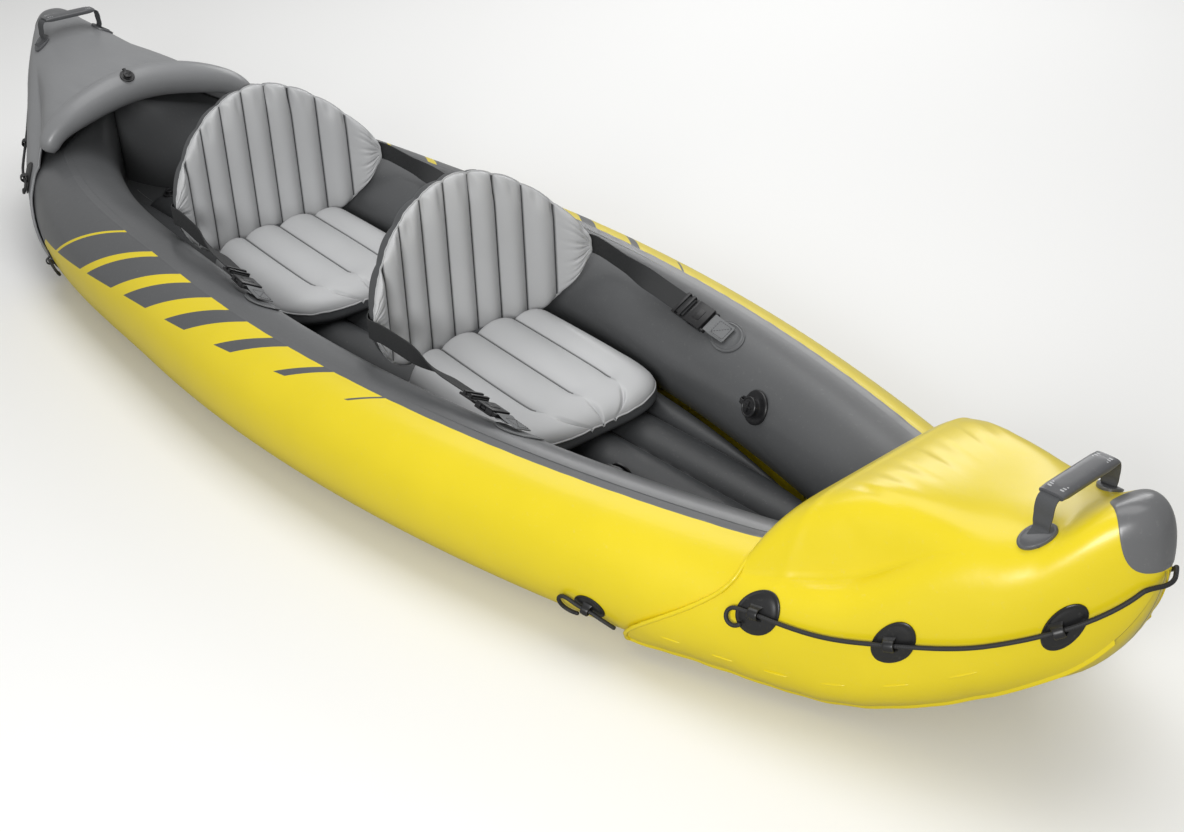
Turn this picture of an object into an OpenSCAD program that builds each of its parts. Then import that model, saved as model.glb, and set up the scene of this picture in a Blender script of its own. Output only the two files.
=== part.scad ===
// Inflatable tandem kayak: two side air chambers, an inflated floor, spray covers at both ends
// and two inflatable seats held by buckled straps.
// X runs to the bow, Y to port and Z up. The origin is on the ground under the middle of the hull.

/* [Hull] */
// Length over both ends
hull_length = 3170; // [2900:10:3400]
// Beam over the side chambers
beam = 910; // [850:5:980]
// Diameter of a side chamber amidships
chamber_d = 226; // [205:1:245]
// Rise of the keel at the ends
keel_rise = 215; // [160:5:235]
// Rise of the chamber tops at the ends
sheer_rise = 245; // [200:5:280]
// How much fuller each side is towards the stern than towards the bow
stern_full = 36; // [0:2:44]
// Thickness of the bottom skin
bottom_skin = 2.5; // [1.5:0.5:4]
// Gap between pieces that are welded or laid together
seam_gap = 0.4; // [0.2:0.1:0.8]

/* [Floor] */
// Width of one floor tube
floor_pitch = 92; // [80:1:110]
// Height of the floor at the top of its tubes
floor_h = 70; // [55:1:80]
// Depth of the valleys between floor tubes
floor_valley = 20; // [10:1:28]
// Distance of the floor's ends from the ends of the hull
floor_inset = 495; // [475:10:640]

/* [Covers] */
// Length of the bow cover from its edge to the end of the hull
cover_l = 499; // [465:2:560]
// How far the cover's lower corner reaches back of its edge
cover_sweep = 165; // [100:5:200]
// Thickness of the cover sheet
cover_t = 2.5; // [1.5:0.5:4]
// Rise of the bow cover over the chambers
bow_rise = 86; // [78:1:100]
// Diameter of the roll under the bow cover
roll_d = 66; // [54:1:70]
// Length of the stern cover from its edge at the sides to the end of the hull
stern_cover_l = 497; // [460:1:540]
// Diameter of the arch at the stern cover's edge
arch_d = 78; // [60:1:90]
// Height of the stern cover's arch over the chambers
arch_rise = 97; // [80:1:120]
// How far the stern arch bows towards the stern
arch_bow = 42; // [20:2:70]

/* [Fittings] */
// Diameter of a grab line patch
line_patch_d = 64; // [50:1:72]
// Diameter of the grab line
line_d = 8; // [6:0.5:10]
// Diameter of an end patch on the nose
nose_patch_d = 104; // [80:2:116]
// Thickness of a welded patch
patch_t = 2.5; // [1.5:0.5:3.5]
// Distance of a carry handle from the end of the hull
handle_inset = 149; // [140:1:164]
// Height of a carry handle over its feet
handle_h = 39; // [36:1:52]
// Width of the handle webbing
handle_w = 30; // [24:1:36]

/* [Valves] */
// Diameter of a valve flange
valve_d = 60; // [54:1:66]
// Bore of a valve, for the pump's nozzle
valve_bore = 22; // [18:0.5:24]
// Thickness of a valve flange
valve_t = 5; // [4:0.5:7]
// Height of a valve collar over the skin it stands on
valve_collar = 14; // [11:1:18]
// Distance of the side valves behind the bow cover's edge
valve_inset = 348; // [300:2:390]

/* [Seats] */
// Place of the front seat's hinge
front_seat_x = 164; // [140:2:190]
// Distance between the two seats
seat_pitch = 700; // [660:5:740]
// Length of a seat cushion
cushion_l = 366; // [330:4:384]
// Width of a seat cushion
cushion_w = 356; // [320:2:364]
// Height of a seat cushion at its front
cushion_h = 60; // [50:1:66]
// How much higher the cushion is at its back
cushion_tilt = 32; // [20:1:40]
// Greatest width of a backrest
back_w = 500; // [460:2:510]
// Height of a backrest
back_h = 340; // [310:2:366]
// Thickness of a backrest at its crown
back_t = 54; // [44:1:60]
// How far the sides of a backrest reach forward
back_wrap = 84; // [60:2:90]
// Width of the seat webbing
web_w = 38; // [30:1:44]
// Thickness of the webbing
web_t = 2.4; // [1.6:0.2:3]

/* [Hidden] */
$fn = 64;

// Where the air chambers end, inside the covers and the grab line
end_skin = 16;
tip = hull_length / 2 - end_skin;
// Places measured from the ends of the hull
floor_reach = hull_length / 2 - floor_inset;
cover_edge = hull_length / 2 - cover_l;
stern_edge = hull_length / 2 - stern_cover_l;
handle_x = hull_length / 2 - handle_inset;
side_valve_x = cover_edge - valve_inset;
// True for what is drawn at the bow and then mirrored to the stern
$aft = false;
// Height of the chambers' underside
base_z = bottom_skin + seam_gap;
// Taper of the plan towards the ends
plan_c2 = 0.7575;
plan_c4 = 0.1039;
// Where the plan and the profile round off into the nose
plan_round = 0.9 * tip;
nose_round = tip - 80;
// Where the keel and the chamber tops begin to rise
keel_x = 0.735 * tip;
sheer_x = 0.648 * tip;
// Where the two chambers begin to meet and where they are one nose
meet_x = 0.68 * tip;
met_x = 0.82 * tip;
// Angles from the chamber's top where the cover lies against it and where it ends
shoulder_t = 42;
hem_t = 135;
// Gap between a cover and the chambers, and the outside of the cover
cover_in = 3.4;
cover_out = cover_in + cover_t;
// Stand off of a welded patch over the sheet below it
patch_gap = 1;
chamber_sides = 20;

function unit(v) = v / norm(v);
function ramp(x, a, b) = min(1, max(0, (abs(x) - a) / (b - a)));
function smooth(t) = t * t * (3 - 2 * t);
function round_end(x, from) = sqrt(max(0.00001, 1 - pow(ramp(x, from, tip), 2)));
function fuller(x) = smooth(ramp(x, 0.2 * tip, 0.6 * tip)) * (1 - smooth(ramp(x, 0.7 * tip, 0.93 * tip)));
function plan(x) = beam / 2 * (1 - plan_c2 * pow(x / tip, 2) - plan_c4 * pow(x / tip, 4))
  + (x < 0 || $aft ? stern_full * fuller(x) : 0);
function outer(x) = plan(x) * round_end(x, plan_round);
function inner(x) = max(seam_gap / 2, plan(x) - chamber_d);
function keel(x) = base_z + keel_rise * pow(ramp(x, keel_x, tip), 1.9);
function crown(x) = base_z + chamber_d + sheer_rise * pow(ramp(x, sheer_x, tip), 2.3);
function mid_z(x) = (keel(x) + crown(x)) / 2;
function semi_z(x) = (crown(x) - keel(x)) / 2 * round_end(x, nose_round);
function corner(x) = 4 - 1.4 * smooth(ramp(x, 0.68 * tip, 0.97 * tip));
function super(t, n) = pow(pow(abs(sin(t)), n) + pow(abs(cos(t)), n), -1 / n);
function merge(x) = smooth(ramp(x, meet_x, met_x));

// A point on the port chamber, t degrees outwards from its top, off above its skin
function tube_pt(x, t, off) =
  let (o = outer(x), i = inner(x), a = (o - i) / 2, b = semi_z(x) + off, zc = mid_z(x))
  let (w = merge(x), k = super(t, corner(x)), far = t > 180)
  let (yr = (o + i) / 2 + (a + off) * sin(t), zr = zc + b * cos(t))
  let (yh = far ? i : max(i, (o + off) * k * sin(t)), zh = zc + b * (far ? 1 : k) * cos(t))
  [x, yr * (1 - w) + yh * w, zr * (1 - w) + zh * w];

// Stations from the middle to one end
half_x = concat([for (f = [0, 0.09, 0.18, 0.27, 0.36, 0.45, 0.54, 0.62, 0.69]) f * tip],
  [for (f = [0.735, 0.78, 0.82, 0.86, 0.9]) f * tip],
  [for (a = [18, 34, 48, 60, 70, 80]) tip * (0.9 + 0.1 * sin(a))]);
stations = concat([for (i = [len(half_x) - 1 : -1 : 1]) -half_x[i]], half_x);

// Solid through a row of closed rings
module loft(r) {
  m = len(r[0]);
  n = len(r);
  sides = [for (i = [0 : n - 2]) for (j = [0 : m - 1]) let (k = (j + 1) % m)
    each [[i * m + j, i * m + k, (i + 1) * m + k], [i * m + j, (i + 1) * m + k, (i + 1) * m + j]]];
  q = floor(m / 4);
  start = [for (j = [1 : m - 2]) [q, (q + j + 1) % m, (q + j) % m]];
  finish = [for (j = [1 : m - 2]) let (o = (n - 1) * m) [o + q, o + (q + j) % m, o + (q + j + 1) % m]];
  polyhedron(points = [for (a = r) for (p = a) p], faces = concat(sides, start, finish), convexity = 6);
}

// Solid between two grids of points
module sheet(top, under) {
  n = len(top);
  m = len(top[0]);
  o = n * m;
  up = [for (i = [0 : n - 2]) for (j = [0 : m - 2]) let (a = i * m + j, b = a + 1, d = a + m, c = d + 1)
    each [[a, b, c], [a, c, d]]];
  down = [for (f = up) [o + f[0], o + f[2], o + f[1]]];
  left = [for (i = [0 : n - 2]) let (a = i * m, b = a + m) each [[a, b, o + b], [a, o + b, o + a]]];
  right = [for (i = [0 : n - 2]) let (a = i * m + m - 1, b = a + m) each [[b, a, o + a], [b, o + a, o + b]]];
  back = [for (j = [0 : m - 2]) let (a = j, b = j + 1) each [[b, a, o + a], [b, o + a, o + b]]];
  front = [for (j = [0 : m - 2]) let (a = (n - 1) * m + j, b = a + 1) each [[a, b, o + b], [a, o + b, o + a]]];
  polyhedron(points = concat([for (r = top) for (p = r) p], [for (r = under) for (p = r) p]),
    faces = concat(up, down, left, right, back, front), convexity = 8);
}

// Round sheet from rings of points round a middle point
module round_sheet(top, under) {
  n = len(top) - 1;
  m = len(top[1]);
  o = 1 + n * m;
  up = concat([for (j = [0 : m - 1]) [0, 1 + (j + 1) % m, 1 + j]],
    [for (k = [0 : n - 2]) for (j = [0 : m - 1]) let (a = 1 + k * m + j, b = 1 + k * m + (j + 1) % m)
      each [[a, b, b + m], [a, b + m, a + m]]]);
  down = [for (f = up) [o + f[0], o + f[2], o + f[1]]];
  rim = [for (j = [0 : m - 1]) let (a = 1 + (n - 1) * m + j, b = 1 + (n - 1) * m + (j + 1) % m)
    each [[a, b, o + b], [a, o + b, o + a]]];
  polyhedron(points = concat([for (r = top) for (p = r) p], [for (r = under) for (p = r) p]),
    faces = concat(up, down, rim), convexity = 4);
}

// Tube along a row of points
function turn(p, i) = unit(p[min(i + 1, len(p) - 1)] - p[max(i - 1, 0)]);
function tube_rings(p, r, sides) = [for (i = [0 : len(p) - 1])
  let (t = turn(p, i), a = unit(cross(t, [0, 0, 1])), b = cross(a, t))
  [for (j = [0 : sides - 1]) p[i] + r[i] * (cos(360 * j / sides) * a + sin(360 * j / sides) * b)]];
module cord(p, r, sides) loft(tube_rings(p, [for (i = p) r], sides));

// Frame with its X along ex and its Z along n
module at_frame(ex, n, p) {
  ey = cross(n, ex);
  multmatrix([[ex.x, ey.x, n.x, p.x], [ex.y, ey.y, n.y, p.y], [ex.z, ey.z, n.z, p.z], [0, 0, 0, 1]])
    children();
}
module at_stern() {
  $aft = true;
  mirror([1, 0, 0]) children();
}
module at_starboard() mirror([0, 1, 0]) children();
module both_sides() {
  children();
  at_starboard() children();
}

// Chamber frame at a place
function tube_ex(x, t) = unit(tube_pt(x + 4, t, 0) - tube_pt(x - 4, t, 0));
function tube_et(x, t) = unit(tube_pt(x, t + 2, 0) - tube_pt(x, t - 2, 0));
function tube_n(x, t) = unit(cross(tube_ex(x, t), tube_et(x, t)));

// Cover surface: f runs from 0 on the centreline over 1 at the shoulder to 2 at the hem
roll_x = cover_edge + 112;
sweep_x = cover_edge - cover_sweep;
function edge_x(f, stern) = let (side = stern ? stern_edge : cover_edge)
  abs(f) > 1 ? side + (sweep_x - side) * smooth(abs(f) - 1) : side + (stern ? arch_bow * (1 - f * f) : 0);
function bow_bump(x) = sin(180 * pow(ramp(x, cover_edge, handle_x + 20), 0.64));
function lift(x, f, stern) = stern
  ? let (r = ramp(x, edge_x(f, true), handle_x + 60)) arch_rise * (1 - 0.7 * f * f * (1 - r)) * (1 - r * r)
  : bow_rise * bow_bump(x);
// Across the two chambers the cover is a tent; over the nose it is a dome
function tent_pt(x, g, off, stern) =
  let (p = tube_pt(x, shoulder_t, off), h = pow(g, stern ? 16 : 8))
  [p.y * g, p.z * h + (mid_z(x) + semi_z(x) + 4 + off + lift(x, g, stern)) * (1 - h)];
function dome_pt(x, t, off, up) =
  let (k = super(t, corner(x)), b = semi_z(x) + off + (t < 90 ? up : 0))
  [(outer(x) + off) * k * sin(t), mid_z(x) + b * k * cos(t)];
function cover_pt(x, f, off, stern) =
  let (g = abs(f), s = f < 0 ? -1 : 1, w = smooth(ramp(x, 0.785 * tip, 0.89 * tip)))
  let (t = g > 1 ? shoulder_t + (g - 1) * (hem_t - shoulder_t) : shoulder_t * g, q = tube_pt(x, t, off))
  let (a = g > 1 ? [q.y, q.z] : tent_pt(x, g, off, stern))
  let (d = dome_pt(x, t, off, lift(x, min(1, g), stern)), p = a * (1 - w) + d * w)
  [x, s * p[0], p[1]];
side_f = [0.2, 0.42, 0.62, 0.76, 0.88, 0.95, 1, 1.12, 1.24, 1.37, 1.51, 1.65, 1.78, 1.89, 1.95, 2];
cover_f = concat([for (i = [len(side_f) - 1 : -1 : 0]) -side_f[i]], [0], side_f);
cover_v = [0, 0.04, 0.09, 0.15, 0.22, 0.3, 0.38, 0.46, 0.54, 0.62, 0.7, 0.78, 0.86, 0.93];
cover_a = [0, 7, 14, 21, 28, 36, 46, 58, 68, 77, 84];
function cover_x(f, i, stern) = i < len(cover_v)
  ? edge_x(f, stern) + (plan_round - edge_x(f, stern)) * cover_v[i]
  : tip * (0.9 + 0.1 * sin(cover_a[i - len(cover_v)]));
function cover_grid(off, stern) = [for (i = [0 : len(cover_v) + len(cover_a) - 1])
  [for (f = cover_f) cover_pt(cover_x(f, i, stern), f, off, stern)]];
function skin_pt(x, t, off) = cover_pt(x, abs(t) < shoulder_t ? t / shoulder_t
  : 1 + (t - shoulder_t) / (hem_t - shoulder_t), off, $aft);
function skin_ex(x, t) = unit(skin_pt(x + 4, t, 0) - skin_pt(x - 4, t, 0));
function skin_n(x, t) = unit(cross(skin_ex(x, t), unit(skin_pt(x, t + 2, 0) - skin_pt(x, t - 2, 0))));

// Round patch that follows the chamber or the cover
function on_pt(x, t, off, skin) = skin ? skin_pt(x, t, off) : tube_pt(x, t, off);
function patch_pt(x, t, p, q, off, skin) =
  let (sx = norm(on_pt(x + 4, t, 0, skin) - on_pt(x - 4, t, 0, skin)) / 8)
  let (st = norm(on_pt(x, t + 2, 0, skin) - on_pt(x, t - 2, 0, skin)) / 4)
  on_pt(x + p / sx, t + q / st, off, skin);
function patch_rings(x, t, rx, rt, off, skin) = concat([[patch_pt(x, t, 0, 0, off, skin)]],
  [for (k = [0.5, 1]) [for (j = [0 : 15])
    patch_pt(x, t, k * rx * cos(22.5 * j), k * rt * sin(22.5 * j), off, skin)]]);
module patch(x, t, rx, rt, off, skin)
  round_sheet(patch_rings(x, t, rx, rt, off + patch_t, skin), patch_rings(x, t, rx, rt, off, skin));

// Side air chambers
module port_chamber()
  loft([for (x = stations) [for (j = [0 : chamber_sides - 1]) tube_pt(x, j * 360 / chamber_sides, 0)]]);
module port_air_chamber() color("gold") port_chamber();
module starboard_air_chamber() color("gold") at_starboard() port_chamber();

// Flat bottom skin between the chambers
bottom_f = [-0.73, -0.66, -0.58, -0.48, -0.36, -0.24, -0.12, 0, 0.12, 0.24, 0.36, 0.48, 0.58, 0.66, 0.73];
function bottom_half(x) = (outer(x) + inner(x)) / 2;
module hull_bottom() color("goldenrod") linear_extrude(bottom_skin)
  polygon(concat([for (f = bottom_f) [f * tip, -bottom_half(f * tip)]],
    [for (f = bottom_f) [-f * tip, bottom_half(-f * tip)]]));

// Floor of long tubes side by side
floor_z = bottom_skin + seam_gap;
floor_low = floor_h - floor_valley;
function floor_half(x) = inner(x) + 14;
function floor_top(x, s) = let (y = s * floor_half(x), e = pow(abs(s), 12))
  floor_z + (floor_low + floor_valley * sqrt(abs(cos(180 * y / floor_pitch)))) * (1 - e) + 34 * e;
floor_s = [for (i = [-14 : 14]) i / 14];
module floor_panel() color("dimgray") loft([for (i = [-12 : 12]) let (x = floor_reach * i / 12) concat(
  [for (s = floor_s) [x, s * floor_half(x), floor_top(x, s)]],
  [for (s = [1, 0, -1]) [x, s * (floor_half(x) - 6), floor_z]])]);

// Covers, the roll under the bow cover and the arch at the stern cover
module bow_cover() color("yellow") sheet(cover_grid(cover_out, false), cover_grid(cover_in, false));
module stern_cover() color("gray") at_stern() sheet(cover_grid(cover_out, true), cover_grid(cover_in, true));
roll_r = roll_d / 2;
roll_z = crown(roll_x + 8) + roll_r + 0.7;
roll_half = (outer(roll_x) + inner(roll_x)) / 2 - 14;
module bow_roll() color("gold") translate([roll_x, 0, roll_z]) rotate([90, 0, 0]) rotate_extrude() difference() {
  union() {
    translate([0, -roll_half]) square([roll_r, 2 * roll_half]);
    for (s = [-1, 1]) translate([0, s * roll_half]) circle(roll_r);
  }
  translate([-2 * roll_r, -2 * roll_half]) square([2 * roll_r, 4 * roll_half]);
}
arch_r = arch_d / 2;
arch_f = [-0.92, -0.86, -0.78, -0.69, -0.58, -0.45, -0.3, -0.15, 0, 0.15, 0.3, 0.45, 0.58, 0.69, 0.78, 0.86, 0.92];
arch_end_r = 23;
function arch_rad(f) = arch_r - (arch_r - arch_end_r) * pow(abs(f) / 0.92, 3);
arch_gap = 0.8;
function arch_pt(f) = cover_pt(edge_x(f, true), f, 0, true) - [arch_rad(f) + arch_gap, 0, -2.6];
module stern_arch() color("gray") at_stern()
  loft(tube_rings([for (f = arch_f) arch_pt(f)], [for (f = arch_f) arch_rad(f)], 14));

// Round patch on the nose
nose_a = 36;
function nose_pt(p, q, off) =
  let (a = nose_a + 52 * p / 120 * 57.3 / 52, x = nose_round + (tip - nose_round) * sin(a), o = outer(x))
  let (n = corner(x), z = mid_z(x) + semi_z(x) * pow(max(0.02, 1 - pow(abs(q) / o, n)), 1 / n))
  [x, q, z] + off * unit([(x - nose_round) / 6400, q / 12100, (z - mid_z(x)) / 21000]);
function nose_rings(off) = concat([[nose_pt(0, 0, off)]], [for (k = [0.34, 0.68, 1]) [for (j = [0 : 23])
  nose_pt(-k * nose_patch_d / 2 * cos(15 * j), -k * nose_patch_d / 2 * sin(15 * j) * 0.86, off)]]);
nose_off = cover_out + 4.5;
module nose_patch() round_sheet(nose_rings(nose_off + patch_t), nose_rings(nose_off));
module bow_nose_patch() color("silver") nose_patch();
module stern_nose_patch() color("silver") at_stern() nose_patch();

// Grab line through bridges on round patches
line_r = line_d / 2;
line_off = cover_out + patch_gap + patch_t + line_r + 1;
function line_t(x) = 66 + 38 * ramp(x, 0.725 * tip, tip);
function line_pt(x) = skin_pt(x, line_t(x), line_off + 5 * ramp(x, 0.92 * tip, tip));
function line_ex(x) = unit(line_pt(x + 5) - line_pt(x - 5));
line_at = [0.725 * tip, 0.84 * tip, 0.954 * tip];
module line_bridge(x) {
  e = line_ex(x);
  n0 = skin_n(x, line_t(x));
  at_frame(e, unit(n0 - (n0 * e) * e), line_pt(x)) difference() {
    translate([-7, -line_r - 6, -line_r - 2.6]) cube([14, 2 * line_r + 12, 2 * line_r + 7]);
    rotate([0, 90, 0]) cylinder(r = line_r + 1.6, h = 30, center = true);
    translate([-15, -line_r - 1.6, -line_r - 5]) cube([30, 2 * line_r + 3.2, line_r + 5]);
  }
}
module line_patches() both_sides() for (x = line_at) {
  patch(x, line_t(x), line_patch_d / 2, line_patch_d / 2, cover_out + patch_gap, true);
  line_bridge(x);
}
module bow_line_patches() color("dimgray") line_patches();
module stern_line_patches() color("dimgray") at_stern() line_patches();
line_x = concat([for (f = [0.725, 0.742, 0.765, 0.785, 0.805, 0.825, 0.84, 0.86, 0.88, 0.9]) f * tip],
  [for (a = [10, 19, 25, 31, 37, 43, 50, 57, 64, 70, 76]) tip * (0.9 + 0.1 * sin(a))]);
function line_loop(c) = let (e = line_ex(line_at[0]), n = skin_n(line_at[0], line_t(line_at[0])), d = cross(n, e))
  line_pt(line_at[0]) - 28 * e + 13 * d + 13 * (-sin(c) * e - cos(c) * d);
function line_side() = concat([for (c = [230, 195, 160, 125, 90, 55, 25, 0]) line_loop(c)],
  [line_pt(line_at[0]) - 14 * line_ex(line_at[0])], [for (x = line_x) line_pt(x)]);
function line_path() = let (side = line_side(), n = len(side))
  concat(side, [[tip + line_off - 1.5, 0, line_pt(line_x[len(line_x) - 1]).z]],
    [for (i = [n - 1 : -1 : 0]) [side[i].x, -side[i].y, side[i].z]]);
module grab_line() cord(line_path(), line_r, 8);
module bow_grab_line() color("black") grab_line();
module stern_grab_line() color("black") at_stern() grab_line();

// Tie for the cover's hem cord, on the side of the chamber
tie_x = cover_edge - cover_sweep - 45;
tie_t = 109;
tie_off = patch_gap + patch_t + line_r + 1;
function tie_pt(dx, t) = tube_pt(tie_x + dx, t, tie_off);
module tie_patches() both_sides() {
  patch(tie_x, tie_t, 26, 21, patch_gap, false);
  e = unit(tie_pt(8, tie_t + 1) - tie_pt(-8, tie_t - 1));
  n = tube_n(tie_x, tie_t);
  at_frame(e, unit(n - (n * e) * e), tie_pt(0, tie_t)) difference() {
    translate([-6, -line_r - 5, -line_r - 2.6]) cube([12, 2 * line_r + 10, 2 * line_r + 6]);
    rotate([0, 90, 0]) cylinder(r = line_r + 1, h = 30, center = true);
    translate([-15, -line_r - 1, -line_r - 5]) cube([30, 2 * line_r + 2, line_r + 5]);
  }
}
function tie_path() = [tie_pt(38, tie_t + 12), tie_pt(26, tie_t + 7), tie_pt(14, tie_t + 2.6), tie_pt(7, tie_t + 0.9),
  tie_pt(-7, tie_t - 0.9), tie_pt(-16, tie_t - 2.4), tie_pt(-28, tie_t - 6), tie_pt(-40, tie_t - 6),
  tie_pt(-49, tie_t), tie_pt(-47, tie_t + 8), tie_pt(-36, tie_t + 12), tie_pt(-24, tie_t + 11)];
module tie_cords() both_sides() cord(tie_path(), line_r, 8);
module bow_tie_patches() color("dimgray") tie_patches();
module stern_tie_patches() color("dimgray") at_stern() tie_patches();
module bow_tie_cords() color("black") tie_cords();
module stern_tie_cords() color("black") at_stern() tie_cords();

// Carry handle: feet on the cover, webbing and a sleeve for the hand
foot_t = 32;
foot_gap = 1.8;
function foot_p() = skin_pt(handle_x, foot_t, cover_out + foot_gap + patch_t);
function foot_n() = skin_n(handle_x, foot_t);
foot_rise = 13;
function pivot() = foot_p() + foot_n() * foot_rise;
eye_r = 6.5;
pin_r = 3;
function leg_y() = pivot().y - 13;
module handle_feet() both_sides() {
  patch(handle_x, foot_t, 25, 25, cover_out + foot_gap, true);
  at_frame(skin_ex(handle_x, foot_t), foot_n(), foot_p())
    translate([0, 0, -1.4]) cylinder(r = 6, h = foot_rise + 4.4);
  translate(pivot()) rotate([90, 0, 0]) cylinder(r = pin_r, h = 17);
}
module handle_leg() translate([pivot().x, leg_y() + web_t / 2, pivot().z]) rotate([90, 0, 0]) difference() {
  linear_extrude(web_t) union() {
    circle(eye_r);
    polygon([[-eye_r, 0], [eye_r, 0], [handle_w / 2, handle_h * 0.6], [handle_w / 2, handle_h],
      [-handle_w / 2, handle_h], [-handle_w / 2, handle_h * 0.6]]);
  }
  translate([0, 0, -1]) cylinder(r = pin_r + 0.35, h = web_t + 2);
}
module handle_strap() {
  both_sides() handle_leg();
  translate([pivot().x - handle_w / 2, -leg_y() - web_t / 2, pivot().z + handle_h - web_t])
    cube([handle_w, 2 * leg_y() + web_t, web_t]);
}
function grip_l() = 2 * leg_y() - 24;
module handle_grip() translate([pivot().x, grip_l() / 2, pivot().z + handle_h - web_t / 2]) rotate([90, 0, 0])
  linear_extrude(grip_l()) difference() {
    union() {
      square([handle_w - 6, 14], center = true);
      for (s = [-1, 1]) translate([s * (handle_w / 2 - 3), 0]) circle(7);
    }
    square([handle_w + 0.8, web_t + 0.8], center = true);
  }
module bow_handle_feet() color("silver") handle_feet();
module bow_handle_strap() color("gray") handle_strap();
module bow_handle_grip() color("dimgray") handle_grip();
module stern_handle_feet() color("silver") at_stern() handle_feet();
module stern_handle_strap() color("gray") at_stern() handle_strap();
module stern_handle_grip() color("dimgray") at_stern() handle_grip();

// Valve: flange, collar and a hinged cap, in its own frame with Z out of the chamber
valve_body_r = valve_bore / 2 + 4;
valve_floor = 2;
valve_z = seam_gap + 0.4;
hinge_x = -(valve_d / 2 + 4);
hinge_z = valve_z + valve_t / 2 + 0.4;
knuckle_r = 3;
valve_pin_r = 1.4;
module valve_base() difference() {
  union() {
    translate([0, 0, valve_z]) cylinder(r = valve_d / 2, h = valve_t);
    translate([0, 0, valve_z]) cylinder(r = valve_body_r, h = valve_collar);
    for (s = [-1, 1]) translate([hinge_x - 2.6, s * 6.7 - 1.7, valve_z]) cube([12, 3.4, valve_t + 0.6]);
    translate([hinge_x, 8.4, hinge_z]) rotate([90, 0, 0]) cylinder(r = valve_pin_r, h = 16.8);
  }
  translate([0, 0, valve_z + valve_floor]) cylinder(r = valve_bore / 2, h = valve_collar + 20);
}
cap_gap = 0.6;
cap_z = valve_z + valve_collar + cap_gap;
module valve_cap() difference() {
  union() {
    translate([0, 0, cap_z]) cylinder(r = valve_bore / 2 + 7, h = 4);
    translate([hinge_x, 4.4, hinge_z]) rotate([90, 0, 0]) cylinder(r = knuckle_r, h = 8.8);
    translate([hinge_x, -4.4, cap_z]) cube([-hinge_x - 10, 8.8, 3]);
    translate([hinge_x - knuckle_r, -4.4, hinge_z]) cube([knuckle_r + 3, 8.8, cap_z + 3 - hinge_z]);
    for (a = [0, 90]) rotate([0, 0, a + 45]) translate([-9, -1.5, cap_z + 3]) cube([18, 3, 2.5]);
  }
  translate([hinge_x, 10, hinge_z]) rotate([90, 0, 0]) cylinder(r = valve_pin_r + cap_gap, h = 20);
}
side_valve_t = 292;
module at_side_valve() at_frame(tube_ex(side_valve_x, side_valve_t), tube_n(side_valve_x, side_valve_t),
  tube_pt(side_valve_x, side_valve_t, 0)) children();
// The floor, the arch and the roll have a smaller copy of the valve
small = 0.56;
floor_valve_x = -(floor_reach - 50);
module at_floor_valve() translate([floor_valve_x, 0, floor_z + floor_h]) scale(small) children();
arch_valve_f = -0.16;
arch_valve_n = [-0.6, 0, 0.8];
function arch_valve_p() = arch_pt(arch_valve_f) + arch_valve_n * arch_r;
module at_arch_valve() at_frame([-0.8, 0, -0.6], arch_valve_n, arch_valve_p()) scale(small) children();
roll_valve_y = 20;
roll_valve_n = [-0.8, 0, -0.6];
roll_valve_p = [roll_x, roll_valve_y, roll_z] + roll_valve_n * roll_r;
module at_roll_valve() at_frame([0, 1, 0], roll_valve_n, roll_valve_p) scale(small) children();
module port_valve_base() color("black") at_side_valve() valve_base();
module port_valve_cap() color("dimgray") at_side_valve() valve_cap();
module starboard_valve_base() color("black") at_starboard() at_side_valve() valve_base();
module starboard_valve_cap() color("dimgray") at_starboard() at_side_valve() valve_cap();
module floor_valve_base() color("black") at_floor_valve() valve_base();
module floor_valve_cap() color("dimgray") at_floor_valve() valve_cap();
module arch_valve_base() color("black") at_stern() at_arch_valve() valve_base();
module arch_valve_cap() color("dimgray") at_stern() at_arch_valve() valve_cap();
module roll_valve_base() color("black") at_roll_valve() valve_base();
module roll_valve_cap() color("dimgray") at_roll_valve() valve_cap();

// Seats, drawn from the hinge of the front seat
welt_r = 6;
welt_gap = 0.6;
seat_z = floor_z + floor_h;
hinge_up = seat_z + cushion_h + cushion_tilt - 22;
function wrap(y) = back_wrap * pow(abs(y) / (back_w / 2), 3);
cushion_s = [for (i = [-12 : 12]) i / 12];
cushion_v = [0, 0.014, 0.05, 0.16, 0.34, 0.5, 0.66, 0.8, 0.9, 0.965, 1];
function cushion_half(v) = cushion_w / 2 * (v < 0.6 ? 0.965 + 0.035 * sin(150 * v)
  : (0.965 + 0.035 * sin(150 * v)) * pow(1 - pow((v - 0.6) / 0.404, 3), 1 / 3));
function cushion_pt(v, s, top) =
  let (y = s * cushion_half(v), x0 = welt_r - 2.1 + wrap(y) * 0.9)
  let (x = x0 + v * (cushion_l - wrap(y) * 0.5 - welt_r), h = cushion_h + cushion_tilt * (1 - v))
  let (e = pow(abs(s), 6), k = pow(abs(2 * v - 1), v < 0.5 ? 60 : 8), soft = (1 - e) * (1 - k))
  let (c = 0.68 + 0.32 * sqrt(abs(sin(180 * 2 * (s + 1)))), rim = seat_z + h * 0.45)
  [x, y, top ? rim + 4 + (h * 0.55 - 4) * c * sqrt(soft) : rim - 4 - (h * 0.45 - 4.6) * sqrt(soft)];
module cushion() sheet([for (v = cushion_v) [for (s = cushion_s) cushion_pt(v, s, true)]],
  [for (v = cushion_v) [for (s = cushion_s) cushion_pt(v, s, false)]]);
back_s = [for (i = [-18 : 18]) i / 18];
back_drop = 24;
back_foot = hinge_up - back_drop;
hinge_v = back_drop / back_h;
back_v = [0, 0.03, hinge_v, 0.14, 0.28, 0.45, 0.62, 0.78, 0.9, 0.97, 1];
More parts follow.
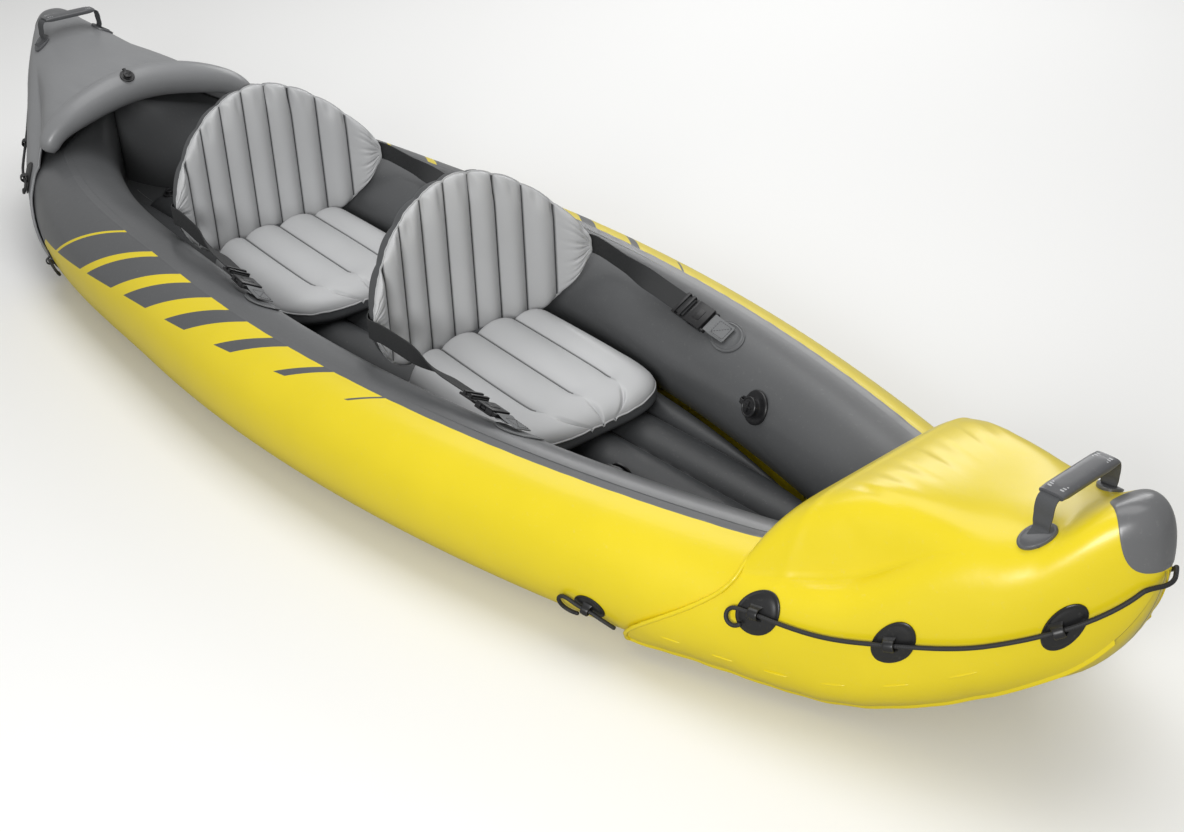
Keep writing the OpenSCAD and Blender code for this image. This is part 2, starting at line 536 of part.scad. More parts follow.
back_d = 4 + (back_t / 2 - 4) * sqrt(1 - pow(1 - 2 * hinge_v, 10));
function back_low(s) = back_foot + back_h * 0.38 * pow(abs(s), 4.4);
function back_high(s) = back_foot + back_h * (0.48 + 0.52 * pow(1 - pow(abs(s), 1.8), 0.8));
function back_mid(y) = -welt_r - welt_gap - back_d + wrap(y);
function back_pt(s, v, front) =
  let (y = s * back_w / 2, e = pow(abs(s), 10), k = pow(abs(2 * v - 1), 10), soft = sqrt((1 - e) * (1 - k)))
  let (c = 0.6 + 0.4 * sqrt(abs(cos(180 * 4.5 * s))), d = front ? 4 + (back_t / 2 - 4) * c * soft
    : -4 - (back_t / 2 - 4) * soft * 0.9)
  [back_mid(y) + d, y, back_low(s) + v * (back_high(s) - back_low(s))];
module backrest() sheet([for (s = back_s) [for (v = back_v) back_pt(s, v, true)]],
  [for (s = back_s) [for (v = back_v) back_pt(s, v, false)]]);
module hinge_welt() translate([0, 44, hinge_up]) rotate([90, 0, 0]) cylinder(r = welt_r, h = 88);
band_v = [0.36, 0.44, 0.52];
function band_pt(s, v, off) = back_pt(s, v, false) - [off, 0, 0];
band_s = [for (i = [-17 : 17]) i / 18];
band_gap = 1.6;
module back_band() sheet([for (s = band_s) [for (v = band_v) band_pt(s, v, band_gap)]],
  [for (s = band_s) [for (v = band_v) band_pt(s, v, band_gap + web_t)]]);

// Strap line of a seat: from a patch on the chamber to the side of the backrest
anchor_dx = 430;
anchor_t = -31;
strap_up = 0.47;
function strap_start(x) = tube_pt(x + anchor_dx, anchor_t, patch_gap + patch_t + 2.9);
function strap_end(x) = let (p = back_pt(1, strap_up, true)) p + [x + 6, 4, 0];
function strap_e(x) = unit(strap_end(x) - strap_start(x));
function strap_n(x) = let (n = tube_n(x + anchor_dx, anchor_t + 360), e = strap_e(x)) unit(n - (n * e) * e);
tab_l = 48;
module at_strap(x) at_frame(strap_e(x), strap_n(x), strap_start(x)) translate([tab_l, 0, 0]) children();
function strap_l(x) = norm(strap_end(x) - strap_start(x)) - tab_l;
module anchor_patches(x) both_sides() patch(x + anchor_dx, anchor_t, 44, 30, patch_gap, false);
module anchor_tabs(x) both_sides() at_strap(x) translate([-tab_l - 6, -web_w / 2, -1])
  cube([tab_l + 6 - 10.4, web_w, web_t]);
buckle_w = web_w + 8;
module buckle_socket() difference() {
  union() {
    translate([0, -buckle_w / 2, -6]) cube([38, buckle_w, 12]);
    translate([-10, -buckle_w / 2 + 1, -3]) cube([11, buckle_w - 2, 6]);
  }
  translate([8, -buckle_w / 2 + 3, -3.4]) cube([40, buckle_w - 6, 6.8]);
  translate([14, -buckle_w, -2.6]) cube([13, 2 * buckle_w, 5.2]);
  translate([-7, -web_w / 2 + 1, -10]) cube([4, web_w - 2, 20]);
}
module buckle_clip() {
  translate([11, -3, -2.2]) cube([30, 6, 4.4]);
  for (s = [-1, 1]) translate([11, s * (buckle_w / 2 - 6) - 2.4, -2.2]) cube([30, 4.8, 4.4]);
  translate([39, -buckle_w / 2, -2.2]) cube([38, buckle_w, 4.4]);
  for (x = [50, 64]) {
    translate([x, -buckle_w / 2, web_t + 3.4]) cube([7, buckle_w, 2.6]);
    for (s = [-1, 1]) translate([x, s * (buckle_w / 2 - 1.6) - 1.6, 1]) cube([7, 3.2, web_t + 4]);
  }
}
module straps(x) both_sides() at_strap(x) translate([42, -web_w / 2, 2.7])
  cube([strap_l(x) - 42, web_w, web_t]);
rear_seat_x = front_seat_x - seat_pitch;
module front_cushion() color("silver") translate([front_seat_x, 0, 0]) cushion();
module rear_cushion() color("silver") translate([rear_seat_x, 0, 0]) cushion();
module front_backrest() color("silver") translate([front_seat_x, 0, 0]) backrest();
module rear_backrest() color("silver") translate([rear_seat_x, 0, 0]) backrest();
module front_hinge_welt() color("dimgray") translate([front_seat_x, 0, 0]) hinge_welt();
module rear_hinge_welt() color("dimgray") translate([rear_seat_x, 0, 0]) hinge_welt();
module front_back_band() color("dimgray") translate([front_seat_x, 0, 0]) back_band();
module rear_back_band() color("dimgray") translate([rear_seat_x, 0, 0]) back_band();
module front_anchor_patches() color("dimgray") anchor_patches(front_seat_x);
module rear_anchor_patches() color("dimgray") anchor_patches(rear_seat_x);
module front_anchor_tabs() color("gray") anchor_tabs(front_seat_x);
module rear_anchor_tabs() color("gray") anchor_tabs(rear_seat_x);
module front_straps() color("gray") straps(front_seat_x);
module rear_straps() color("gray") straps(rear_seat_x);
module front_buckle_sockets() color("black") both_sides() at_strap(front_seat_x) buckle_socket();
module rear_buckle_sockets() color("black") both_sides() at_strap(rear_seat_x) buckle_socket();
module front_port_buckle_clip() color("black") at_strap(front_seat_x) buckle_clip();
module front_starboard_buckle_clip() color("black") at_starboard() at_strap(front_seat_x) buckle_clip();
module rear_port_buckle_clip() color("black") at_strap(rear_seat_x) buckle_clip();
module rear_starboard_buckle_clip() color("black") at_starboard() at_strap(rear_seat_x) buckle_clip();

port_air_chamber();
starboard_air_chamber();
hull_bottom();
floor_panel();
bow_cover();
stern_cover();
bow_roll();
stern_arch();
bow_nose_patch();
stern_nose_patch();
bow_line_patches();
stern_line_patches();
bow_grab_line();
stern_grab_line();
bow_tie_patches();
stern_tie_patches();
bow_tie_cords();
stern_tie_cords();
bow_handle_feet();
bow_handle_strap();
bow_handle_grip();
stern_handle_feet();
stern_handle_strap();
stern_handle_grip();
port_valve_base();
port_valve_cap();
starboard_valve_base();
starboard_valve_cap();
floor_valve_base();
floor_valve_cap();
arch_valve_base();
arch_valve_cap();
roll_valve_base();
roll_valve_cap();
front_cushion();
front_backrest();
front_hinge_welt();
front_back_band();
front_anchor_patches();
front_anchor_tabs();
front_straps();
front_buckle_sockets();
front_port_buckle_clip();
front_starboard_buckle_clip();
rear_cushion();
rear_backrest();
rear_hinge_welt();
rear_back_band();
rear_anchor_patches();
rear_anchor_tabs();
rear_straps();
rear_buckle_sockets();
rear_port_buckle_clip();
rear_starboard_buckle_clip();
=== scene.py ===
# %% [markdown]
# # An inflatable tandem kayak
# This lesson dresses a imported CAD model of a two-seat inflatable kayak. The CAD part fixes every
# size and joint. Blender adds the blown-up film, the welds, the webbing and the moulded fittings.
# We load the frame first. The finished boat has to keep that size.

# %% Load the frame
import math
import bpy
import numpy as np
from mathutils import Matrix, Vector


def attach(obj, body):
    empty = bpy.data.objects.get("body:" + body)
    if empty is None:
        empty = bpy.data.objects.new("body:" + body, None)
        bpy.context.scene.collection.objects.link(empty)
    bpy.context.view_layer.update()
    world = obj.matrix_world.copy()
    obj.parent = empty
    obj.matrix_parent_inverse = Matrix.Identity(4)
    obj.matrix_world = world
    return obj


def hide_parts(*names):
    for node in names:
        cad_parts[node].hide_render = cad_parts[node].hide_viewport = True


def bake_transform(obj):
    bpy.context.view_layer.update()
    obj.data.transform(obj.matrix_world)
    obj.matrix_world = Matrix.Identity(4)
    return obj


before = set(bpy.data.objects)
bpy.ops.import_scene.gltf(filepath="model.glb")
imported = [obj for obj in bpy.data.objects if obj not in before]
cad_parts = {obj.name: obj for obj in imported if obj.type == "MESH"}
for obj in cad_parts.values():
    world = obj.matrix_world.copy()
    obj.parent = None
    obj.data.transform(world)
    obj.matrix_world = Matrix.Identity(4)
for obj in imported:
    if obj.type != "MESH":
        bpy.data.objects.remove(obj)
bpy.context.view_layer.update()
MM = 0.001
scene = bpy.context.scene

# %% [markdown]
# ## The camera
# The photograph was taken from ahead and above the starboard bow. A camera was fitted to it: a place
# in millimetres, a heading, a tilt, a small roll and a focal length in pixels of a 1184 by 832
# picture. We turn those into Blender's lens and rotation.

# %% Camera
PHOTO_W, SENSOR_W = 1184, 36
FOCAL_PX = 1570.43
CAMERA_AT = (2298.5, -1518.9, 1489.5)
HEADING, TILT, ROLL = 49.86, 30.43, -2.06


def camera_axes(heading, tilt, roll):
    h, e, r = (math.radians(a) for a in (heading, tilt, roll))
    back = Vector((math.sin(h) * math.cos(e), -math.cos(h) * math.cos(e), math.sin(e)))
    right = Vector((math.cos(h), math.sin(h), 0))
    up = back.cross(right)
    return math.cos(r) * right + math.sin(r) * up, math.cos(r) * up - math.sin(r) * right, back


def make_camera():
    data = bpy.data.cameras.new("photo_camera")
    data.sensor_width = SENSOR_W
    data.lens = FOCAL_PX * SENSOR_W / PHOTO_W
    data.clip_start, data.clip_end = 0.05, 50
    cam = bpy.data.objects.new("photo_camera", data)
    scene.collection.objects.link(cam)
    right, up, back = camera_axes(HEADING, TILT, ROLL)
    turn = Matrix((right, up, back)).transposed().to_4x4()
    cam.matrix_world = Matrix.Translation(Vector(CAMERA_AT) * MM) @ turn
    scene.camera = cam
    return data.lens


print("lens", round(make_camera(), 2), "mm")

# %% [markdown]
# ## The stage
# A wide pale floor and soft light from three large lamps. Light Path tells the camera's rays from all
# others: the camera sees a white world and a pale floor, and bounced light finds both of them darker,
# so the yellow keeps its depth low down on the sides.

# %% Floor and lamps
FLOOR_TONE = (0.9, 0.9, 0.89, 1)
FLOOR_BOUNCE = (0.42, 0.42, 0.41, 1)
WORLD_FILL, WORLD_SEEN = 0.4, 1.0
FLOOR_SIZE, FLOOR_Z = 30, -0.001


def make_world():
    world = bpy.data.worlds.new("studio")
    world.use_nodes = True
    tree = world.node_tree
    plain = tree.nodes["Background"]
    plain.inputs["Color"].default_value = (1, 1, 1, 1)
    plain.inputs["Strength"].default_value = WORLD_FILL
    white = tree.nodes.new("ShaderNodeBackground")
    white.inputs["Color"].default_value = (1, 1, 1, 1)
    white.inputs["Strength"].default_value = WORLD_SEEN
    mix = tree.nodes.new("ShaderNodeMixShader")
    path = tree.nodes.new("ShaderNodeLightPath")
    tree.links.new(path.outputs["Is Camera Ray"], mix.inputs[0])
    tree.links.new(plain.outputs[0], mix.inputs[1])
    tree.links.new(white.outputs[0], mix.inputs[2])
    tree.links.new(mix.outputs[0], tree.nodes["World Output"].inputs["Surface"])
    scene.world = world


def deselect():
    if bpy.context.object and bpy.context.object.mode != "OBJECT":
        bpy.ops.object.mode_set(mode="OBJECT")
    bpy.ops.object.select_all(action="DESELECT")


def make_floor():
    deselect()
    bpy.ops.mesh.primitive_plane_add(size=FLOOR_SIZE, location=(0, 0, FLOOR_Z))
    floor = bpy.context.object
    floor.name = "studio_floor"
    material = bpy.data.materials.new("studio_floor")
    material.use_nodes = True
    tree = material.node_tree
    shader = tree.nodes["Principled BSDF"]
    tone = tree.nodes.new("ShaderNodeMix")
    tone.data_type = "RGBA"
    tone.inputs[6].default_value, tone.inputs[7].default_value = FLOOR_BOUNCE, FLOOR_TONE
    path = tree.nodes.new("ShaderNodeLightPath")
    tree.links.new(path.outputs["Is Camera Ray"], tone.inputs[0])
    tree.links.new(tone.outputs[2], shader.inputs["Base Color"])
    shader.inputs["Roughness"].default_value = 0.6
    shader.inputs["Specular IOR Level"].default_value = 0.2
    floor.data.materials.append(material)


def make_lamp(name, at, aim, size, watts):
    data = bpy.data.lights.new(name, "AREA")
    data.shape = "RECTANGLE"
    data.size, data.size_y = size
    data.energy = watts
    lamp = bpy.data.objects.new(name, data)
    scene.collection.objects.link(lamp)
    lamp.location = at
    lamp.rotation_euler = (Vector(aim) - Vector(at)).to_track_quat("-Z", "Y").to_euler()


scene.view_settings.view_transform = "Standard"
make_world()
make_floor()
make_lamp("overhead", (-0.3, 0.4, 3.6), (-0.3, 0, 0), (4.5, 2.2), 66)
make_lamp("bow_side", (2.5, -2.9, 1.7), (0.0, 0, 0.25), (1.4, 1.1), 82)
make_lamp("far_side", (-1.6, 3.4, 2.0), (0, 0, 0.2), (3.0, 1.2), 40)

# %% [markdown]
# ## The hull as a set of curves
# Everything on the boat lies on the blown-up side chambers or on the covers, so their shape is
# written once, as functions of the place along the boat and the angle round a chamber. The numbers
# are the CAD part's own. All of these work in millimetres on whole arrays of points at once.

# %% Hull curves
TIP = 1569.0
BEAM, CHAMBER = 910.0, 226.0
BASE_Z = 2.9
KEEL_RISE, SHEER_RISE = 215.0, 245.0
SHOULDER, HEM = 42.0, 135.0
COVER_OUT = 5.9
HANDLE_X = 1436.0
BOW_EDGE, STERN_EDGE, SWEEP_X = 1086.0, 1088.0, 921.0
BOW_RISE, ARCH_RISE, ARCH_BOW = 86.0, 97.0, 42.0
STERN_FULL = 36.0


def ramp(x, a, b):
    return np.clip((np.abs(x) - a) / (b - a), 0, 1)


def ease(t):
    return t * t * (3 - 2 * t)


def round_tip(turn):
    """Places along the last tenth of a half boat, drawn together towards the tip."""
    return TIP * (0.9 + 0.1 * np.sin(np.radians(turn)))


def round_end(x, start):
    return np.sqrt(np.maximum(1e-5, 1 - ramp(x, start, TIP) ** 2))


def plan(x, aft=False):
    """Half beam; the stern is a little fuller than the bow."""
    fuller = ease(ramp(x, 0.2 * TIP, 0.6 * TIP)) * (1 - ease(ramp(x, 0.7 * TIP, 0.93 * TIP)))
    half = BEAM / 2 * (1 - 0.7575 * (x / TIP) ** 2 - 0.1039 * (x / TIP) ** 4)
    return half + np.where((x < 0) | aft, STERN_FULL * fuller, 0)


def outer(x, aft=False):
    return plan(x, aft) * round_end(x, 0.9 * TIP)


def inner(x, aft=False):
    return np.maximum(0.2, plan(x, aft) - CHAMBER)


def keel(x):
    return BASE_Z + KEEL_RISE * ramp(x, 0.735 * TIP, TIP) ** 1.9


def crown(x):
    return BASE_Z + CHAMBER + SHEER_RISE * ramp(x, 0.648 * TIP, TIP) ** 2.3


def mid_z(x):
    return (keel(x) + crown(x)) / 2


def semi_z(x):
    return (crown(x) - keel(x)) / 2 * round_end(x, TIP - 80)


def corner(x):
    return 4 - 1.4 * ease(ramp(x, 0.68 * TIP, 0.97 * TIP))


def squarish(t, n):
    a = np.radians(t)
    return (np.abs(np.sin(a)) ** n + np.abs(np.cos(a)) ** n) ** (-1 / n)


def chamber(x, t, off=0.0, aft=False):
    """Point on the port chamber, t degrees outboard of its top."""
    x, t, off = np.broadcast_arrays(np.asarray(x, float), np.asarray(t, float), np.asarray(off, float))
    o, i, a = outer(x, aft), inner(x, aft), np.radians(t)
    b, w, k = semi_z(x) + off, ease(ramp(x, 0.68 * TIP, 0.82 * TIP)), squarish(t, corner(x))
    far = (t % 360) > 180
    y_round = (o + i) / 2 + ((o - i) / 2 + off) * np.sin(a)
    y_nose = np.where(far, i, np.maximum(i, (o + off) * k * np.sin(a)))
    z_round = mid_z(x) + b * np.cos(a)
    z_nose = mid_z(x) + b * np.where(far, 1, k) * np.cos(a)
    return np.stack([x, y_round * (1 - w) + y_nose * w, z_round * (1 - w) + z_nose * w], -1)


print("crown amidships", crown(0.0), "at the tip", round(float(crown(TIP)), 1))

# %% [markdown]
# The covers reach from the hem on one side, over the shoulder, across the boat and down again.
# The value f is 0 on the centreline, 1 at the shoulder and 2 at the hem. Over the open cockpit the
# cover is a tent between the chambers, and over the nose it turns into a dome.

# %% Cover curves


def edge_x(f, stern):
    g = np.abs(f)
    side = STERN_EDGE if stern else BOW_EDGE
    low = side + (SWEEP_X - side) * ease(np.clip(g - 1, 0, 1))
    return np.where(g > 1, low, side + (ARCH_BOW * (1 - g * g) if stern else 0))


def lift(x, f, stern):
    if stern:
        start = edge_x(f, True)
        fall = np.clip((np.abs(x) - start) / (HANDLE_X + 60 - start), 0, 1)
        return ARCH_RISE * (1 - 0.7 * f * f * (1 - fall)) * (1 - fall * fall)
    return BOW_RISE * np.sin(np.pi * ramp(x, BOW_EDGE, HANDLE_X + 20) ** 0.64)


def cover(x, f, off, stern):
    """Point on a cover of the bow half; the stern's is mirrored when it is built."""
    x, f, off = np.broadcast_arrays(np.asarray(x, float), np.asarray(f, float), np.asarray(off, float))
    g, side = np.abs(f), np.where(f < 0, -1.0, 1.0)
    t = np.where(g > 1, SHOULDER + (g - 1) * (HEM - SHOULDER), SHOULDER * g)
    over = np.clip(g, 0, 1)
    shoulder, h = chamber(x, np.full_like(x, SHOULDER), off, stern), over ** (16 if stern else 8)
    up = lift(x, over, stern)
    tent_y, tent_z = shoulder[..., 1] * over, shoulder[..., 2] * h
    tent_z = tent_z + (mid_z(x) + semi_z(x) + 4 + off + up) * (1 - h)
    wall = chamber(x, t, off, stern)
    y_tent = np.where(g > 1, wall[..., 1], tent_y)
    z_tent = np.where(g > 1, wall[..., 2], tent_z)
    k, b = squarish(t, corner(x)), semi_z(x) + off + np.where(t < 90, up, 0)
    y_dome = (outer(x, stern) + off) * k * np.sin(np.radians(t))
    z_dome = mid_z(x) + b * k * np.cos(np.radians(t))
    w = ease(ramp(x, 0.785 * TIP, 0.89 * TIP))
    return np.stack([x, side * (y_tent * (1 - w) + y_dome * w), z_tent * (1 - w) + z_dome * w], -1)


def bow_deck(x, t, off, stern=False):
    """Point on a cover, t degrees outboard of the top."""
    t = np.asarray(t, float)
    f = np.where(np.abs(t) < SHOULDER, t / SHOULDER, 1 + (t - SHOULDER) / (HEM - SHOULDER))
    return cover(x, f, off, stern)


def stern_deck(x, t, off):
    return bow_deck(x, t, off, True)


def stern_chamber(x, t, off):
    return chamber(x, t, off, True)


print("cover over the handle", np.round(cover(HANDLE_X, 0.0, COVER_OUT, False), 1))

# %% [markdown]
# ## Steps that every piece needs
# A few moves come back again and again: naming what was just added, working on one object in edit
# mode, welding double points, smooth shading and applying a modifier. Each is a short function that
# starts with nothing selected, as a careful modeller would.

# %% Everyday steps


def active_mesh(name):
    obj = bpy.context.object
    obj.name = name
    obj.data.name = name
    return obj


def edit(obj, *steps):
    """Runs edit-mode operators on the whole of one object."""
    deselect()
    bpy.context.view_layer.objects.active = obj
    obj.select_set(True)
    bpy.ops.object.mode_set(mode="EDIT")
    bpy.ops.mesh.select_all(action="SELECT")
    for step in steps:
        step()
    bpy.ops.object.mode_set(mode="OBJECT")
    return obj


def weld(obj, gap=1e-6):
    return edit(
        obj,
        lambda: bpy.ops.mesh.remove_doubles(threshold=gap),
        lambda: bpy.ops.mesh.normals_make_consistent(inside=False),
    )


def smooth_shade(obj, angle=None):
    deselect()
    bpy.context.view_layer.objects.active = obj
    obj.select_set(True)
    if angle is None:
        bpy.ops.object.shade_smooth()
    else:
        bpy.ops.object.shade_smooth_by_angle(angle=math.radians(angle))
    return obj


def finish_with(obj, kind, **values):
    """Adds a modifier and applies it."""
    deselect()
    bpy.context.view_layer.objects.active = obj
    obj.select_set(True)
    modifier = obj.modifiers.new(kind.lower(), kind)
    for key, value in values.items():
        setattr(modifier, key, value)
    bpy.ops.object.modifier_apply(modifier=modifier.name)
    return obj


def set_points(obj, points):
    obj.data.vertices.foreach_set("co", np.asarray(points, np.float32).ravel())
    obj.data.update()


def get_points(obj):
    points = np.zeros(len(obj.data.vertices) * 3, np.float32)
    obj.data.vertices.foreach_get("co", points)
    return points.reshape(-1, 3).astype(float)


print("everyday steps ready")

# %% [markdown]
# ## Film laid on a curve
# Film that follows a rule starts as Blender's own grid primitive. The grid is then laid on the
# curve, closed where it meets itself, and given UVs in real units, so a stripe or a weave follows
# the film.

# %% Sheets
CLOSE_GAP = 2e-5


def sheet(name, us, vs, place, uv=None, closed=True):
    """A grid laid on place(u, v), which gives millimetres; uv(u, v) gives its map in real units."""
    deselect()
    nu, nv = len(us) - 1, len(vs) - 1
    bpy.ops.mesh.primitive_grid_add(x_subdivisions=nu, y_subdivisions=nv, size=2)
    obj = active_mesh(name)
    flat = get_points(obj)
    i = np.rint((flat[:, 0] + 1) / 2 * nu).astype(int)
    j = np.rint((flat[:, 1] + 1) / 2 * nv).astype(int)
    u, v = np.asarray(us, float)[i], np.asarray(vs, float)[j]
    set_points(obj, place(u, v) * MM)
    layer = obj.data.uv_layers.active or obj.data.uv_layers.new(name="UVMap")
    loops = np.zeros(len(obj.data.loops), np.int32)
    obj.data.loops.foreach_get("vertex_index", loops)
    a, b = uv(u, v) if uv else (u, v)
    layer.data.foreach_set("uv", np.stack([a[loops], b[loops]], -1).astype(np.float32).ravel())
    if closed:
        weld(obj, CLOSE_GAP)
    return smooth_shade(obj)


print("sheets close within", CLOSE_GAP, "m")

# %% [markdown]
# ## Hoses and ribbons
# Cords, hems and tubes are round hoses, and webbing is a flat ribbon. Both are sheets rolled round a
# path. The path is rounded by cutting its corners a few times, and the frame that carries the ring
# turns as little as it can, so nothing twists.

# %% Hoses and ribbons


def along(points):
    """Distance from the start of a path to each of its points, in the path's own units."""
    return np.concatenate([[0], np.cumsum(np.linalg.norm(np.diff(points, axis=0), axis=1))])


def point_at(path, far, at):
    """Points of a path at some distances from its start; far is the distance of its own points."""
    return np.stack([np.interp(at, far, path[:, k]) for k in range(3)], -1)


def resample(points, step):
    """A smooth path through the points, with even steps."""
    points = np.asarray(points, float)
    for _ in range(3):
        mids = np.empty((2 * len(points) - 2, 3))
        mids[0::2] = points[:-1] * 0.75 + points[1:] * 0.25
        mids[1::2] = points[:-1] * 0.25 + points[1:] * 0.75
        points = np.vstack([points[:1], mids, points[-1:]])
    far = along(points)
    return point_at(points, far, np.linspace(0, far[-1], max(4, int(far[-1] / step))))


def carried_frames(path):
    """Tangent, side and up along a path, turned as little as possible."""
    tangent = np.gradient(path, axis=0)
    tangent /= np.linalg.norm(tangent, axis=1)[:, None]
    side = np.zeros_like(path)
    first = np.cross(tangent[0], (0, 0, 1.0))
    side[0] = first / np.linalg.norm(first)
    for n in range(1, len(path)):
        s = side[n - 1] - tangent[n] * (side[n - 1] @ tangent[n])
        side[n] = s / np.linalg.norm(s)
    return tangent, side, np.cross(side, tangent)


def hose(name, path, radius, sides=16, taper=True):
    """A round tube along a path in millimetres, closed at both ends."""
    path = np.asarray(path, float)
    tangent, side, up = carried_frames(path)
    far = along(path)
    r = np.broadcast_to(np.asarray(radius, float), (len(path),)).copy()
    rows = np.arange(len(path))
    if taper:
        r = np.concatenate([[0.01, r[0] * 0.75], r, [r[-1] * 0.75, 0.01]])
        rows = np.concatenate([[0, 0], rows, [len(path) - 1] * 2])
    push = np.zeros(len(rows))
    if taper:
        push[:2], push[-2:] = (-r[2] * 0.8, -r[2] * 0.6), (r[-3] * 0.6, r[-3] * 0.8)
    turns = np.linspace(0, 360, sides + 1)

    def place(u, v):
        n = np.rint(u).astype(int)
        a = np.radians(v)[:, None]
        ring = np.cos(a) * side[rows[n]] + np.sin(a) * up[rows[n]]
        return path[rows[n]] + ring * r[n][:, None] + tangent[rows[n]] * push[n][:, None]

    return sheet(name, np.arange(len(rows)), turns, place,
                 uv=lambda u, v: (far[rows[np.rint(u).astype(int)]] * MM, v / 360))


def unit(v):
    v = np.asarray(v, float)
    return v / np.linalg.norm(v, axis=-1, keepdims=True)


def ribbon(name, path, across, width, thick, square=0.22, sides=20):
    """A strap along a path in millimetres, with its width along the across directions."""
    path = np.asarray(path, float)
    across = unit(np.broadcast_to(np.asarray(across, float), path.shape))
    tangent = unit(np.gradient(path, axis=0))
    up = unit(np.cross(tangent, across))
    width = np.broadcast_to(np.asarray(width, float), (len(path),))
    thick = np.broadcast_to(np.asarray(thick, float), (len(path),))
    rows = np.concatenate([[0], np.arange(len(path)), [len(path) - 1]])
    shut = np.concatenate([[0.05], np.ones(len(path)), [0.05]])
    far = along(path)

    def corner_of(v):
        a = np.radians(v)
        c, s = np.cos(a), np.sin(a)
        return np.sign(c) * np.abs(c) ** square, np.sign(s) * np.abs(s) ** square

    def place(u, v):
        k = np.rint(u).astype(int)
        n = rows[k]
        c, s = corner_of(v)
        wide = across[n] * (c * width[n] / 2)[:, None]
        return path[n] + wide + up[n] * (s * shut[k] * thick[n] / 2)[:, None]

    def flat(u, v):
        n = rows[np.rint(u).astype(int)]
        return far[n] * MM, corner_of(v)[0] * width[n] / 2 * MM

    made = sheet(name, np.arange(len(rows)), np.linspace(0, 360, sides + 1), place, uv=flat)
    return smooth_shade(made, 50)


print("hoses and ribbons ready")

# %% [markdown]
# ## Turned and moulded fittings
# Valves are turned: a circle is extruded and scaled ring by ring along a profile. Buckles are moulded:
# cubes with rounded edges, joined. Pieces are made once at the origin, then laid in the frame of
# their place on the boat or mirrored to the other side.

# %% Turned and moulded fittings


def turned(name, profile, steps=48):
    """A turned shape: a circle extruded and scaled along (radius, height) pairs, in millimetres."""
    deselect()
    r0, z0 = profile[0]
    bpy.ops.mesh.primitive_circle_add(vertices=steps, radius=r0 * MM, location=(0, 0, z0 * MM))
    obj = active_mesh(name)
    bpy.ops.object.transform_apply(location=True)
    bpy.ops.object.mode_set(mode="EDIT")
    bpy.ops.mesh.select_all(action="SELECT")
    for (ra, za), (rb, zb) in zip(profile, profile[1:]):
        bpy.ops.mesh.extrude_edges_move()
        bpy.ops.transform.translate(value=(0, 0, (zb - za) * MM))
        bpy.ops.transform.resize(value=(rb / ra, rb / ra, 1), center_override=(0, 0, zb * MM))
    bpy.ops.object.mode_set(mode="OBJECT")
    return smooth_shade(weld(obj, 1e-5), 35)


def block(name, size, at, bevel=0.6, segments=2):
    """A moulded block with rounded edges, in millimetres."""
    deselect()
    bpy.ops.mesh.primitive_cube_add(size=MM)
    obj = active_mesh(name)
    obj.scale = size
    bpy.ops.object.transform_apply(scale=True)
    finish_with(obj, "BEVEL", width=bevel * MM, segments=segments, limit_method="NONE")
    obj.data.transform(Matrix.Translation(Vector(at) * MM))
    return smooth_shade(obj, 40)


def join(name, pieces):
    deselect()
    for piece in pieces:
        piece.select_set(True)
    bpy.context.view_layer.objects.active = pieces[0]
    if len(pieces) > 1:
        bpy.ops.object.join()
    return active_mesh(name)


def copy_of(obj, name):
    twin = obj.copy()
    twin.data = obj.data.copy()
    twin.name = twin.data.name = name
    scene.collection.objects.link(twin)
    return twin


def moved(obj, matrix):
    """Lays a piece in a frame; a mirrored frame gets its faces turned back."""
    obj.data.transform(matrix)
    if matrix.determinant() < 0:
        obj.data.flip_normals()
    obj.data.update()
    return obj


def frame_at(ex, up, at):
    """Matrix of a place on the boat: local X along ex and Z along up, at a point in millimetres."""
    up = Vector(up).normalized()
    ex = (Vector(ex) - Vector(ex).dot(up) * up).normalized()
    turn = Matrix((ex, up.cross(ex), up)).transposed().to_4x4()
    return Matrix.Translation(Vector(at) * MM) @ turn


TO_STERN = Matrix.Diagonal((-1, 1, 1, 1))
TO_STARBOARD = Matrix.Diagonal((1, -1, 1, 1))
print("fitting tools ready")

# %% [markdown]
# ## Materials
# The boat is mostly welded PVC film, so one node group gives every film its leathery grain, its
# soft unevenness and a little wear, and each material only chooses a colour and a gloss. Webbing
# and cord have groups of their own, which read the UVs that were laid in metres.

# %% Node helpers


def shader_node(tree, kind, **values):
    made = tree.nodes.new("ShaderNode" + kind)
    for key, value in values.items():
        if hasattr(made, key):
            setattr(made, key, value)
        else:
            made.inputs[key.replace("_", " ")].default_value = value
    return made


def wire(tree, *pairs):
    for source, target in pairs:
        tree.links.new(source, target)


def formula(tree, operation, a, b=0.0, clamp=False):
    """One math node; a and b are sockets or numbers."""
    made = tree.nodes.new("ShaderNodeMath")
    made.operation, made.use_clamp = operation, clamp
    for slot, value in zip(made.inputs, (a, b)):
        if isinstance(value, (int, float)):
            slot.default_value = value
        else:
            tree.links.new(value, slot)
    return made.outputs[0]


def blend_colour(tree, mask, a, b, kind="MIX"):
    made = tree.nodes.new("ShaderNodeMix")
    made.data_type, made.blend_type = "RGBA", kind
    for slot, value in zip((made.inputs[0], made.inputs[6], made.inputs[7]), (mask, a, b)):
        if isinstance(value, (int, float, tuple)):
            slot.default_value = value
        else:
            tree.links.new(value, slot)
    return made.outputs[2]


